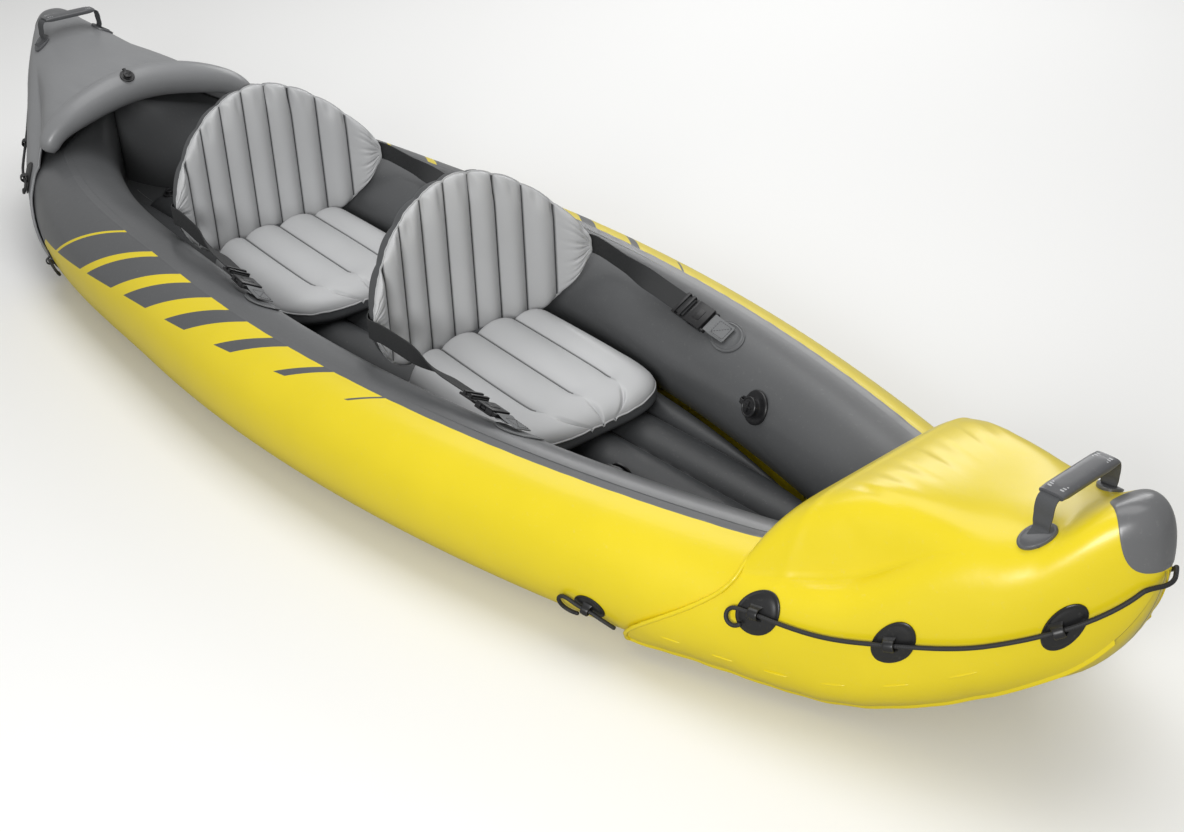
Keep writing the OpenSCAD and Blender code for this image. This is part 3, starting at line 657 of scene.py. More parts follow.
def new_group(name, inputs, outputs):
    group = bpy.data.node_groups.new(name, "ShaderNodeTree")
    for socket, kind, start in inputs:
        made = group.interface.new_socket(socket, in_out="INPUT", socket_type="NodeSocket" + kind)
        made.default_value = start
    for socket, kind in outputs:
        group.interface.new_socket(socket, in_out="OUTPUT", socket_type="NodeSocket" + kind)
    return group, group.nodes.new("NodeGroupInput"), group.nodes.new("NodeGroupOutput")


print("node helpers ready")

# %% [markdown]
# The film group reads Object coordinates. Broad clouds change the tone and the gloss a little, a soft
# bump gives the orange-peel of blown-up film, a fine one its grain, and specks of dust show the wear.

# %% Film group
DUST = (0.62, 0.6, 0.56, 1)


def film_group():
    tree, enter, leave = new_group(
        "film",
        [("Color", "Color", (0.5, 0.5, 0.5, 1)), ("Roughness", "Float", 0.35), ("Wear", "Float", 0.5)],
        [("Color", "Color"), ("Roughness", "Float"), ("Normal", "Vector")])
    place = shader_node(tree, "TexCoord").outputs["Object"]
    cloud = shader_node(tree, "TexNoise", Scale=5.0, Detail=3.0)
    peel = shader_node(tree, "TexNoise", Scale=38.0, Detail=2.0)
    grain = shader_node(tree, "TexNoise", Scale=1100.0, Detail=1.0)
    speck = shader_node(tree, "TexNoise", Scale=160.0, Detail=4.0, Roughness=0.7)
    for tex in (cloud, peel, grain, speck):
        wire(tree, (place, tex.inputs["Vector"]))
    tone = formula(tree, "MULTIPLY_ADD", cloud.outputs["Fac"], 0.16)
    tone.node.inputs[2].default_value = 0.92
    shade = shader_node(tree, "CombineColor")
    wire(tree, *((tone, shade.inputs[k]) for k in range(3)))
    toned = blend_colour(tree, 1.0, enter.outputs["Color"], shade.outputs[0], "MULTIPLY")
    dusty = formula(tree, "SUBTRACT", speck.outputs["Fac"], 0.6, clamp=True)
    dusty = formula(tree, "MULTIPLY", dusty, 1.2)
    dust = formula(tree, "MULTIPLY", dusty, enter.outputs["Wear"], clamp=True)
    worn = blend_colour(tree, dust, toned, DUST)
    rough = formula(tree, "MULTIPLY_ADD", cloud.outputs["Fac"], 0.14)
    wire(tree, (enter.outputs["Roughness"], rough.node.inputs[2]))
    rough = formula(tree, "ADD", rough, formula(tree, "MULTIPLY", dust, 0.5), clamp=True)
    soft = shader_node(tree, "Bump", Strength=0.10, Distance=0.003)
    fine = shader_node(tree, "Bump", Strength=0.12, Distance=0.0002)
    wire(tree, (peel.outputs["Fac"], soft.inputs["Height"]), (grain.outputs["Fac"], fine.inputs["Height"]),
         (soft.outputs["Normal"], fine.inputs["Normal"]), (fine.outputs["Normal"], leave.inputs["Normal"]),
         (worn, leave.inputs["Color"]), (rough, leave.inputs["Roughness"]))
    return tree


FILM = film_group()
print("group", FILM.name)

# %% [markdown]
# Webbing and cord are threads that cross. Two sine waves in the UVs, which were laid in metres, give the
# height of the threads, and a lean of the waves turns the plain weave into a braid. The same height also
# sets the colour: painted shade in the hollows between threads and a little painted highlight on their
# crowns.

# %% Woven groups


def woven_group(name, along_pitch, across_pitch, slant):
    """Crossing threads from UVs in metres; slant leans them into a braid."""
    tree, enter, leave = new_group(
        name, [("Color", "Color", (0.1, 0.1, 0.1, 1))], [("Color", "Color"), ("Normal", "Vector")])
    split = shader_node(tree, "SeparateXYZ")
    wire(tree, (shader_node(tree, "TexCoord").outputs["UV"], split.inputs[0]))
    u = formula(tree, "MULTIPLY", split.outputs["X"], 2 * math.pi / along_pitch)
    v = formula(tree, "MULTIPLY", split.outputs["Y"], 2 * math.pi / across_pitch)
    lean = formula(tree, "MULTIPLY", v, slant)
    one = formula(tree, "SINE", formula(tree, "ADD", u, lean))
    two = formula(tree, "SINE", formula(tree, "SUBTRACT", v if slant == 0 else u, lean))
    over = formula(tree, "MULTIPLY", one, two)
    height = formula(tree, "MULTIPLY_ADD", over, 0.5)
    height.node.inputs[2].default_value = 0.5
    fuzz = shader_node(tree, "TexNoise", Scale=2400.0, Detail=1.0)
    wire(tree, (shader_node(tree, "TexCoord").outputs["Object"], fuzz.inputs["Vector"]))
    # Painted shade in the hollows between threads and a faint painted highlight on their crowns, from the
    # thread height.
    dark = formula(tree, "MULTIPLY_ADD", height, 0.42)
    dark.node.inputs[2].default_value = 0.68
    dark = formula(tree, "MULTIPLY", dark, formula(tree, "ADD", fuzz.outputs["Fac"], 0.5))
    shade = shader_node(tree, "CombineColor")
    wire(tree, *((dark, shade.inputs[k]) for k in range(3)))
    bump = shader_node(tree, "Bump", Strength=0.6, Distance=0.0005)
    threads = blend_colour(tree, 1.0, enter.outputs["Color"], shade.outputs[0], "MULTIPLY")
    wire(tree, (height, bump.inputs["Height"]), (bump.outputs["Normal"], leave.inputs["Normal"]),
         (threads, leave.inputs["Color"]))
    return tree


WEAVE = woven_group("weave", 0.0024, 0.0017, 0)
BRAID = woven_group("braid", 0.006, 1 / 4, 1)
print("groups", WEAVE.name, BRAID.name)

# %% [markdown]
# The colours come first. The side of the hull changes from grey at the stern to yellow at the bow. The
# change is a plain design of slanting bars that grow towards the bow, drawn from the chamber's own
# UVs: U is the distance along the boat in metres and V the turn round the chamber.

# %% Colours and patterns
YELLOW = (0.79, 0.625, 0.01, 1)
STERN_GREY = (0.235, 0.239, 0.245, 1)
SIDE_GREY = (0.092, 0.095, 0.098, 1)
INNER_GREY = (0.104, 0.107, 0.11, 1)
# The weld colour below is painted shade for the valleys along the silver film's welds.
WELD_SHADE = (0.05, 0.052, 0.055, 1)
FLOOR_GREY = (0.042, 0.044, 0.046, 1)
SILVER = (0.5, 0.505, 0.51, 1)
SEAT_DARK = (0.07, 0.073, 0.076, 1)
PATCH_GREY = (0.14, 0.142, 0.145, 1)
FLANGE_GREY = (0.5, 0.505, 0.51, 1)
WEB_GREY = (0.075, 0.078, 0.082, 1)
STRAP_GREY = (0.026, 0.027, 0.028, 1)
TAB_GREY = (0.2, 0.205, 0.21, 1)
SLEEVE_GREY = (0.085, 0.087, 0.092, 1)
BLACK = (0.012, 0.012, 0.013, 1)
RUBBER_BLACK = (0.012, 0.012, 0.0125, 1)
CORD_BLACK = (0.02, 0.02, 0.021, 1)
SEAM_T, UNDER_T = 8.6, 178.0
BARS_FROM, BARS_TO, BAR_PITCH, BAR_LEAN = -0.62, 0.46, 0.135, 1.1
BAR_FOOT, BAR_FOOT_RISE = 0.235, 0.17
WELD_SHADE_HALF, WELD_SHADE_FADE = 0.0006, 0.0028


def dressed(name, group, colour, roughness, **sockets):
    """A Principled material whose colour and normal come from one of the groups."""
    material = bpy.data.materials.new(name)
    material.use_nodes = True
    tree = material.node_tree
    shader = tree.nodes["Principled BSDF"]
    film = tree.nodes.new("ShaderNodeGroup")
    film.node_tree = group
    if not isinstance(colour, tuple):
        wire(tree, (colour(tree), film.inputs["Color"]))
    else:
        film.inputs["Color"].default_value = colour
    if "Roughness" in film.inputs:
        film.inputs["Roughness"].default_value = roughness
        film.inputs["Wear"].default_value = sockets.pop("wear", 0.5)
        wire(tree, (film.outputs["Roughness"], shader.inputs["Roughness"]))
    else:
        shader.inputs["Roughness"].default_value = roughness
    wire(tree, (film.outputs["Color"], shader.inputs["Base Color"]),
         (film.outputs["Normal"], shader.inputs["Normal"]))
    for key, value in sockets.items():
        shader.inputs[key.replace("_", " ")].default_value = value
    return material


def hull_paint(tree):
    split = shader_node(tree, "SeparateXYZ")
    wire(tree, (shader_node(tree, "TexCoord").outputs["UV"], split.inputs[0]))
    x, v = split.outputs["X"], split.outputs["Y"]
    lean = formula(tree, "MULTIPLY_ADD", v, BAR_LEAN)
    wire(tree, (x, lean.node.inputs[2]))
    share = shader_node(tree, "MapRange", From_Min=BARS_FROM, From_Max=BARS_TO)
    wire(tree, (lean, share.inputs["Value"]))
    step = formula(tree, "FRACT", formula(tree, "DIVIDE", lean, BAR_PITCH))
    bars = formula(tree, "LESS_THAN", step, share.outputs[0])
    depth = formula(tree, "MULTIPLY_ADD", share.outputs[0], -BAR_FOOT_RISE)
    depth.node.inputs[2].default_value = BAR_FOOT
    below = formula(tree, "GREATER_THAN", v, depth)
    ahead = formula(tree, "GREATER_THAN", lean, BARS_FROM)
    yellow = formula(tree, "MULTIPLY", ahead, formula(tree, "MAXIMUM", bars, below))
    side = blend_colour(tree, yellow, SIDE_GREY, YELLOW)
    past_seam = formula(tree, "GREATER_THAN", v, SEAM_T / 360)
    outside = formula(tree, "MULTIPLY", past_seam, formula(tree, "LESS_THAN", v, UNDER_T / 360))
    return blend_colour(tree, outside, INNER_GREY, side)


def silver_with_weld_shade(tree):
    """Silver film with a line of painted shade in the valley along each weld; U is the distance to the weld
    in metres.
    """
    split = shader_node(tree, "SeparateXYZ")
    wire(tree, (shader_node(tree, "TexCoord").outputs["UV"], split.inputs[0]))
    clear = shader_node(tree, "MapRange", From_Min=WELD_SHADE_HALF, From_Max=WELD_SHADE_FADE)
    wire(tree, (split.outputs["X"], clear.inputs["Value"]))
    return blend_colour(tree, clear.outputs[0], WELD_SHADE, SILVER)


print("seam at", SEAM_T, "degrees, bars every", BAR_PITCH, "m")

# %% [markdown]
# Now every finish is made from a group, a colour and a roughness. The hull, the covers, the nose
# patches and the handles' sleeves are glossy, so they get a thin coat. The rest stays plain.

# %% Finishes
GLOSS = dict(Coat_Weight=0.16, Coat_Roughness=0.16)
HULL = dressed("hull_film", FILM, hull_paint, 0.30, **GLOSS)
YELLOW_FILM = dressed("yellow_film", FILM, YELLOW, 0.26, **GLOSS)
STERN_FILM = dressed("stern_film", FILM, STERN_GREY, 0.32, **GLOSS)
FLOOR_FILM = dressed("floor_film", FILM, FLOOR_GREY, 0.38)
SILVER_FILM = dressed("silver_film", FILM, silver_with_weld_shade, 0.36)
INNER_FILM = dressed("inner_film", FILM, INNER_GREY, 0.32)
DARK_FILM = dressed("dark_film", FILM, SEAT_DARK, 0.36)
PATCH_FILM = dressed("patch_film", FILM, PATCH_GREY, 0.24, **GLOSS)
FLANGE_FILM = dressed("flange_film", FILM, FLANGE_GREY, 0.34)
RUBBER = dressed("black_rubber", FILM, RUBBER_BLACK, 0.30, wear=0.3)
PLASTIC = dressed("black_plastic", FILM, BLACK, 0.30, wear=0.25)
SLEEVE = dressed("vinyl_sleeve", FILM, SLEEVE_GREY, 0.26, **GLOSS)
WEBBING = dressed("webbing", WEAVE, WEB_GREY, 0.72)
STRAP_WEBBING = dressed("strap_webbing", WEAVE, STRAP_GREY, 0.7)
TAB_WEBBING = dressed("tab_webbing", WEAVE, TAB_GREY, 0.7)
CORD = dressed("cord", BRAID, CORD_BLACK, 0.6)


def paint(obj, material):
    obj.data.materials.clear()
    obj.data.materials.append(material)
    return obj


def wear(obj, material, slot, body="hull", *nodes):
    """Gives a piece its material, the body it rides and the nodes it stands for; slot is not used."""
    if material:
        paint(obj, material)
    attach(obj, body)
    if nodes:
        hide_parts(*nodes)
    return obj


print("materials", len(bpy.data.materials))

# %% [markdown]
# ## The side chambers
# Each side of the boat is one long tube that closes into a half nose at both ends. A weld runs
# along its top, and the film puckers a little beside it where the two panels meet. The tube is a
# grid laid on the chamber's curve, with more rows near the weld. Under each cover a web of film closes
# the bottom between the tubes, and half of it is joined to either side.

# %% Side chambers
RIDGE_H, RIDGE_HALF = 0.5, 1.8
PUCKER, PUCKER_HALF, SWELL = 0.5, 5, 0.5
END_WEB_T, END_WEB_FROM, END_WEB_TO = 215.0, 1070.0, 1420.0


def ripple(x, *waves):
    return sum(np.sin(x / w + 1.7 * n) for n, w in enumerate(waves)) / len(waves)


def near(value, centre, width):
    return np.exp(-(((value - centre) / width) ** 2))


def chamber_skin(x, t):
    ridge = RIDGE_H * np.clip(1 - np.abs(t - SEAM_T) / RIDGE_HALF, 0, 1)
    pucker = PUCKER * ripple(x, 7.1, 11.3, 17.9) * near(t, SEAM_T, PUCKER_HALF)
    swell = SWELL * ripple(x + 3 * t, 190, 310)
    fade = 1 - ease(ramp(x, 0.8 * TIP, 0.9 * TIP))
    return chamber(x, t, (ridge + pucker + swell) * fade)


def end_web(x, s):
    """Half of the film that closes the bottom between the tubes under a cover."""
    p = chamber_skin(x, 0 * x + END_WEB_T)
    return np.stack([p[..., 0], p[..., 1] * (1 - s) + 0.2 * s, p[..., 2]], -1)


def end_web_uv(x, s):
    return x * MM, 0 * s + END_WEB_T / 360


half_x = np.concatenate([np.linspace(0, 0.9 * TIP, 200), round_tip(np.linspace(0, 90, 20))[1:]])
hull_x = np.concatenate([-half_x[:0:-1], half_x])
hull_t = np.unique(np.concatenate([np.linspace(0, 360, 91), np.arange(2, 18, 0.65)]))
port = sheet("port_hull_tube", hull_x, hull_t, chamber_skin, uv=lambda u, v: (u * MM, v / 360))
web_x, web_s = np.linspace(END_WEB_FROM, END_WEB_TO, 40), np.linspace(0, 1, 5)
webs = [sheet("web", end * web_x, web_s, end_web, end_web_uv) for end in (-1, 1)]
port = join("port_hull_tube", [port, *webs])
wear(port, HULL, "yellow_pvc", "hull", "port_air_chamber")
starboard = moved(copy_of(port, "starboard_hull_tube"), TO_STARBOARD)
wear(starboard, HULL, "yellow_pvc", "hull", "starboard_air_chamber")
print("tube faces", len(port.data.polygons))

# %% [markdown]
# ## The floor
# Five long tubes side by side, welded along the valleys. The cross-section is a row of rounded
# humps, and the film wrinkles across each valley where the weld holds it down. The flat bottom of
# the hull below it keeps the CAD part's shape and only gets its film.

# %% Floor
FLOOR_PITCH, FLOOR_REACH, FLOOR_LOW, FLOOR_VALLEY = 92.0, 1090.0, 42.0, 28.0
FLOOR_TUCK, FLOOR_EDGE, FLOOR_ROUND = 14, 34, 45
paint(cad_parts["hull_bottom"], YELLOW_FILM)


def floor_skin(x, s):
    side = np.clip(s, -1, 1)
    half = inner(x) + FLOOR_TUCK
    y, e = side * half, np.abs(side) ** 12
    wave = np.abs(np.cos(np.pi * y / FLOOR_PITCH))
    pucker = 0.9 * ripple(x + 0.6 * y, 9.3, 14.1, 23.7) * np.exp(-wave * 5)
    z = (FLOOR_LOW + FLOOR_VALLEY * np.sqrt(wave) + pucker) * (1 - e) + FLOOR_EDGE * e
    z = z * np.sqrt(np.clip(1 - ramp(x, FLOOR_REACH - FLOOR_ROUND, FLOOR_REACH) ** 2, 0, 1))
    under = np.abs(s) > 1
    return np.stack([x, np.where(under, np.sign(s) * (half - 6), y), BASE_Z + np.where(under, 0, z)], -1)


floor_x = np.concatenate([
    np.linspace(-FLOOR_REACH, -FLOOR_REACH + FLOOR_ROUND, 12),
    np.linspace(-1040, 1040, 260),
    np.linspace(FLOOR_REACH - FLOOR_ROUND, FLOOR_REACH, 12),
])
floor_s = np.concatenate([[-1.5], np.linspace(-1, 1, 151), [1.5]])
floor = sheet("floor_mat", floor_x, floor_s, floor_skin, uv=lambda u, v: (u * MM, v))
wear(floor, FLOOR_FILM, "dark_grey_pvc", "hull", "floor_panel")
print("floor faces", len(floor.data.polygons))

# %% [markdown]
# ## The covers
# A sheet is drawn tight over each end. The grid follows the cover's curve from hem to hem, the
# film sags a little between the places that hold it, and Solidify gives it its thickness. A round
# hem with a drawcord inside runs along the open edge. A welded lip and a row of short pleats follow
# both lower edges.

# %% Covers
COVER_THICK = 0.0022
HEM_R, LIP_W, LIP_THICK = 3.4, 9, 1.8
PLEAT_F, PLEAT_HALF, PLEAT_PITCH = 1.74, 17, 78


def cover_x(v, f, stern):
    start = edge_x(f, stern)
    front = start + (0.9 * TIP - start) * np.clip(v, 0, 1)
    return np.where(v > 1, round_tip(np.clip(v - 1, 0, 1) * 90), front)


def cover_skin(v, f, stern):
    """The cover's film: slack between its holds, gathers at the open edge and puckers at the hem."""
    x = cover_x(v, f, stern)
    g, back = np.abs(f), x - edge_x(f, stern)
    slack = 0.7 * ripple(x + 60 * f, 31, 47, 83) * ripple(140 * f + 0.4 * x, 23, 41)
    crease = 1.5 * np.clip(ripple(x * 0.8 + 130 * f, 26, 39), 0, 1) ** 2
    hem = 1.1 * near(g, 2, 0.12) * ripple(x, 8.5, 12.4, 19)
    fold = np.clip(ripple(430 * f + 0.9 * back, 15, 26, 37), 0, 1)
    gather = (4.2 if stern else 3.4) * fold * near(back, 40 if stern else 128, 44) * (g < 1.05)
    edge = 0.8 * near(back, 0, 16) * ripple(160 * f, 6.3, 9.8, 15)
    fade = 1 - ramp(x, 0.9 * TIP, 0.96 * TIP)
    ridge = 0 if stern else 2.2 * near(back, 62, 9) * np.clip(1.1 - g, 0, 1) ** 0.3
    flare = 5.0 * near(g, 2, 0.16) * near(back, 0, 60)
    sink = np.clip(slack + crease + hem + gather + edge + 0.5, 0, 5)
    skin = cover(x, f, COVER_OUT - (sink - ridge - flare) * fade, stern)
    tip = np.array((TIP + COVER_OUT, 0, float(mid_z(TIP))))
    return np.where((v > 2)[..., None], tip, skin)


def hem_lip(stern):
    """The welded lip that stands out along both lower edges."""
    v = np.concatenate([np.linspace(0, 1, 120), np.linspace(1, 1.6, 30)[1:]])
    sides = []
    for f in (2.0, -2.0):
        path = cover_skin(v, 0 * v + f, stern)
        above = cover_skin(v, 0 * v + f * 0.94, stern)
        down = unit(path - above)
        out = unit(np.cross(np.gradient(path, axis=0), down)) * np.sign(f)
        sides.append(ribbon("lip", path + out * 0.4, unit(down + 0.35 * out), LIP_W, LIP_THICK))
    return sides


def hem_pleats(stern):
    """Short pinched pleats in a row a little above both lower edges."""
    made = []
    for x in np.arange(1010, 1440, PLEAT_PITCH):
        span = np.linspace(x - PLEAT_HALF, x + PLEAT_HALF, 15)
        thick = 0.3 + 1.9 * np.sqrt(np.clip(1 - ((span - x) / PLEAT_HALF) ** 2, 0, 1))
        for f in (PLEAT_F, -PLEAT_F):
            path = cover(span, 0 * span + f + 0.008 * np.sin(x) * np.sign(f), COVER_OUT - 1.2, stern)
            made.append(hose("pleat", path, thick, sides=10))
    return made


def make_cover(name, stern, material, slot, node):
    vs = np.concatenate([np.linspace(0, 1, 118), np.linspace(1, 2, 28)[1:], [2.01]])
    fs = np.linspace(-2, 2, 261)
    sheet_obj = sheet(name, vs, fs, lambda v, f: cover_skin(v, f, stern),
                      uv=lambda v, f: (cover_x(v, f, stern) * MM, f))
    finish_with(sheet_obj, "SOLIDIFY", thickness=COVER_THICK, offset=-1.0)
    ends = np.linspace(-2, 2, 260)
    line = cover_skin(0 * ends, ends, stern) + (2.5, 0, 0)
    hem = hose("hem", line, HEM_R + 0.35 * ripple(along(line), 3.1, 4.7), sides=10)
    made = join(name, [sheet_obj, hem, *hem_lip(stern), *hem_pleats(stern)])
    if stern:
        moved(made, TO_STERN)
    return wear(made, material, slot, "hull", node)


bow_cover = make_cover("bow_spray_cover", False, YELLOW_FILM, "yellow_pvc", "bow_cover")
stern_cover = make_cover("stern_spray_cover", True, STERN_FILM, "grey_pvc", "stern_cover")
print("cover faces", len(bow_cover.data.polygons))

# %% [markdown]
# ## The roll and the arch
# A short inflated roll lifts the bow cover, and an inflated arch holds the stern cover open. Both
# are tubes: the roll has round ends, and the arch thins towards its feet on the chambers.

# %% Roll and arch
ROLL_AT, ROLL_R, ROLL_HALF = np.array((1198.0, 0.0, 283.472)), 33.0, 110.99
ARCH_R, ARCH_END_R, ARCH_F = 39.0, 23.0, 0.92
ARCH_BACK, ARCH_UP = 0.8, 2.6


def arch_radius(f):
    return ARCH_R - (ARCH_R - ARCH_END_R) * (np.abs(f) / ARCH_F) ** 3


def arch_line(f):
    shift = np.stack([arch_radius(f) + ARCH_BACK, 0 * f, 0 * f - ARCH_UP], -1)
    return cover(edge_x(f, True), f, 0.0, True) - shift


roll_a = np.radians(np.linspace(0, 90, 14))[1:]
cap_y, cap_r = ROLL_HALF + ROLL_R * np.cos(roll_a), ROLL_R * np.sin(roll_a)
roll_y = np.concatenate([-cap_y, [0], cap_y[::-1]])
roll_r = np.concatenate([cap_r, [ROLL_R], cap_r[::-1]])
roll_path = ROLL_AT + np.stack([0 * roll_y, roll_y, 0 * roll_y], -1)
roll = hose("bow_roll_tube", roll_path, np.maximum(roll_r, 0.5), sides=48, taper=False)
wear(roll, YELLOW_FILM, "yellow_pvc", "hull", "bow_roll")
arch_f = np.linspace(-ARCH_F, ARCH_F, 90)
arch = hose("stern_arch_tube", arch_line(arch_f), arch_radius(arch_f), sides=40)
wear(moved(arch, TO_STERN), STERN_FILM, "grey_pvc", "hull", "stern_arch")
print("arch span", round(float(np.ptp(arch_line(arch_f)[:, 1])), 1), "mm")

# %% [markdown]
# ## Patches
# Welded patches follow the skin they sit on. Each one is a disc of rings laid on that skin, and
# the height of every ring gives the moulded edge and the raised middle.

# %% Patch tools


def surface_axes(surface, x, t):
    """Along, outward and the millimetres per unit of x and of t, on a skin."""
    ex = surface(x + 4, t, 0) - surface(x - 4, t, 0)
    et = surface(x, t + 2, 0) - surface(x, t - 2, 0)
    return unit(ex), unit(np.cross(ex, et)), np.linalg.norm(ex) / 8, np.linalg.norm(et) / 4


def disc(name, place, profile, turns=64, radius=1.0):
    """A round patch: place(p, q, height) for p and q from -1 to 1, rings from (share, height)."""
    share, height = np.array(profile, float).T

    def ring(u, v):
        n, a = np.rint(u).astype(int), np.radians(v)
        return place(share[n] * np.cos(a), share[n] * np.sin(a), height[n])

    def flat(u, v):
        n, a = np.rint(u).astype(int), np.radians(v)
        return share[n] * np.cos(a) * radius * MM, share[n] * np.sin(a) * radius * MM

    made = sheet(name, np.arange(len(share)), np.linspace(0, 360, turns + 1), ring, uv=flat)
    return smooth_shade(made, 40)


def raised(surface, x, t, base, h):
    """Points on a skin, pushed out along its true normal."""
    ex = surface(x + 2, t, base) - surface(x - 2, t, base)
    et = surface(x, t + 1, base) - surface(x, t - 1, base)
    return surface(x, t, base) + unit(np.cross(ex, et)) * np.asarray(h)[..., None]


def skin_disc(name, surface, base, x, t, size, profile, turns=64):
    """A round or oval patch on a skin; size is its half length and half width."""
    _, _, sx, st = surface_axes(surface, x, t)

    def place(p, q, h):
        return raised(surface, x + p * size[0] / sx, t + q * size[1] / st, base, h)

    return disc(name, place, profile, turns, size[0])


def stitch_row(name, path, up, long=3.0, gap=2.0, half=0.45):
    """A row of short thread bars along a path; up is the side they lie on."""
    path, far = np.asarray(path, float), along(path)
    up = np.broadcast_to(np.asarray(up, float), path.shape)
    points, faces = [], []
    for start in np.arange(gap / 2, far[-1] - long, long + gap):
        a, b = point_at(path, far, start), point_at(path, far, start + long)
        rise = unit(point_at(up, far, start))
        side = unit(np.cross(b - a, rise)) * half
        crest = rise * half * 1.3
        n = len(points)
        for end in (a, b):
            points += [end - side, end - side * 0.5 + crest, end + side * 0.5 + crest, end + side]
        faces += [(n, n + 4, n + 5, n + 1), (n + 1, n + 5, n + 6, n + 2), (n + 2, n + 6, n + 7, n + 3)]
        faces += [(n, n + 1, n + 2, n + 3), (n + 7, n + 6, n + 5, n + 4)]
    mesh = bpy.data.meshes.new(name)
    mesh.from_pydata([tuple(p * MM) for p in points], [], faces)
    obj = bpy.data.objects.new(name, mesh)
    scene.collection.objects.link(obj)
    return smooth_shade(obj, 40)


print("patch tools ready")

# %% [markdown]
# ## Nose patches
# A round grey wear patch is glued over each nose. By hand this is a disc held in front of the nose
# and shrink-wrapped onto the cover, then given its thickness and a soft edge.

# %% Nose patches
NOSE_AT, NOSE_R = (1529.0, 0.0, 375.7), 51.5
NOSE_OUT, NOSE_DOWN = (0.575, 0, 0.818), (0.818, 0, -0.575)
NOSE_AHEAD, NOSE_LIFT, NOSE_THICK, NOSE_EDGE = 0.12, 0.0012, 0.0024, 0.0009


def flat_disc(p, q, h):
    return np.stack([p, q, 0 * h], -1) * NOSE_R


def nose_disc(name, cover_obj, turn):
    """A disc projected onto the cover; turn takes it to its end of the boat."""
    rings = [(k, 0) for k in np.linspace(1, 0, 22)]
    flat = disc(name, flat_disc, rings, turns=96, radius=NOSE_R)
    ahead = Matrix.Translation((0, 0, NOSE_AHEAD))
    moved(flat, turn @ frame_at(NOSE_DOWN, NOSE_OUT, NOSE_AT) @ ahead)
    finish_with(flat, "SHRINKWRAP", target=cover_obj, wrap_method="PROJECT", wrap_mode="ABOVE_SURFACE",
                use_project_x=False, use_project_y=False, use_project_z=False, use_negative_direction=True,
                use_positive_direction=True, offset=NOSE_LIFT)
    finish_with(flat, "SOLIDIFY", thickness=NOSE_THICK, offset=1.0)
    finish_with(flat, "BEVEL", width=NOSE_EDGE, segments=2, limit_method="ANGLE")
    return smooth_shade(flat, 45)


for end, cover_obj in (("bow", bow_cover), ("stern", stern_cover)):
    turn = Matrix.Identity(4) if end == "bow" else TO_STERN
    piece = nose_disc(end + "_nose_disc", cover_obj, turn)
    wear(piece, PATCH_FILM, "grey_pvc", "hull", end + "_nose_patch")
    print(end, "nose patch faces", len(piece.data.polygons))

# %% [markdown]
# ## Grab lines
# A braided line runs round each nose through bridges moulded on rubber patches. The patch and its
# bridge are modelled at each place of the port side, on the bow or stern deck, and mirrored. The
# line's route has the CAD part's points: a small loop, the three bridges, then round the nose.

# %% Grab line patches
LINE_R, CORD_R, PATCH_T, PATCH_GAP = 4.0, 3.2, 2.5, 1.0
LINE_OFF = COVER_OUT + PATCH_GAP + PATCH_T + LINE_R + 1
LINE_AT = [0.725 * TIP, 0.84 * TIP, 0.954 * TIP]
RUBBER_EDGE = [(1.0, -0.9), (1.0, 0.9), (0.975, 1.7), (0.93, 1.9), (0.88, 1.4), (0.82, 1.4), (0.77, 2.1),
               (0.6, 2.4), (0.4, 2.5), (0.2, 2.5), (0.0, 2.5)]
RUBBER_RINGS = [(k, PATCH_GAP + h) for k, h in RUBBER_EDGE]
RUBBER_R = 32
DECKS = {"bow": bow_deck, "stern": stern_deck}
ENDS = {"bow": Matrix.Identity(4), "stern": TO_STERN}


def line_turn(x):
    return 66 + 38 * ramp(x, 0.725 * TIP, TIP)


def line_point(x, end):
    return DECKS[end](x, line_turn(x), LINE_OFF + 5 * ramp(x, 0.92 * TIP, TIP))


def line_axes(x, end):
    e = unit(line_point(x + 5, end) - line_point(x - 5, end))
    n = surface_axes(DECKS[end], x, line_turn(x))[1]
    return e, unit(n - (n @ e) * e)


def bridge(name, at, e, n, reach, rise, wide):
    """A moulded strip that stands on a patch and passes over a cord at that point."""
    d = np.cross(n, e)
    a = np.radians(np.linspace(0, 180, 15))
    arc = at + np.outer(np.cos(a) * reach, d) + np.outer(np.sin(a) * rise, n)
    low = [at + s * d * (reach + 2.5) - n * (LINE_R + 2) for s in (1, -1)]
    knee = [at + s * d * (reach + 0.6) - n * LINE_R * 0.5 for s in (1, -1)]
    path = resample(np.vstack([low[0], knee[0], arc, knee[1], low[1]]), 1.6)
    flare = 1 + 0.45 * np.abs(np.linspace(-1, 1, len(path))) ** 4
    return ribbon(name, path, e, wide * flare, 3.4, square=0.45)


def line_patch(name, x, end):
    size = (RUBBER_R, RUBBER_R)
    patch = skin_disc(name, DECKS[end], COVER_OUT, x, line_turn(x), size, RUBBER_RINGS)
    e, n = line_axes(x, end)
    strip = bridge("bridge", line_point(x, end), e, n, LINE_R + 3.4, LINE_R + 3.6, 15)
    return join(name, [patch, strip])


def both_sides(piece, name):
    """Joins a port piece with its starboard twin."""
    return join(name, [piece, moved(copy_of(piece, "twin"), TO_STARBOARD)])


for end, turn in ENDS.items():
    patches = join("patches", [line_patch("patch", x, end) for x in LINE_AT])
    patches = moved(both_sides(patches, end + "_line_rubbers"), turn)
    wear(patches, RUBBER, "black_rubber", "hull", end + "_line_patches")
print("rubber patches", 4 * len(LINE_AT))

# %% [markdown]
# The line itself is a hose along the route of one side and its mirror image.

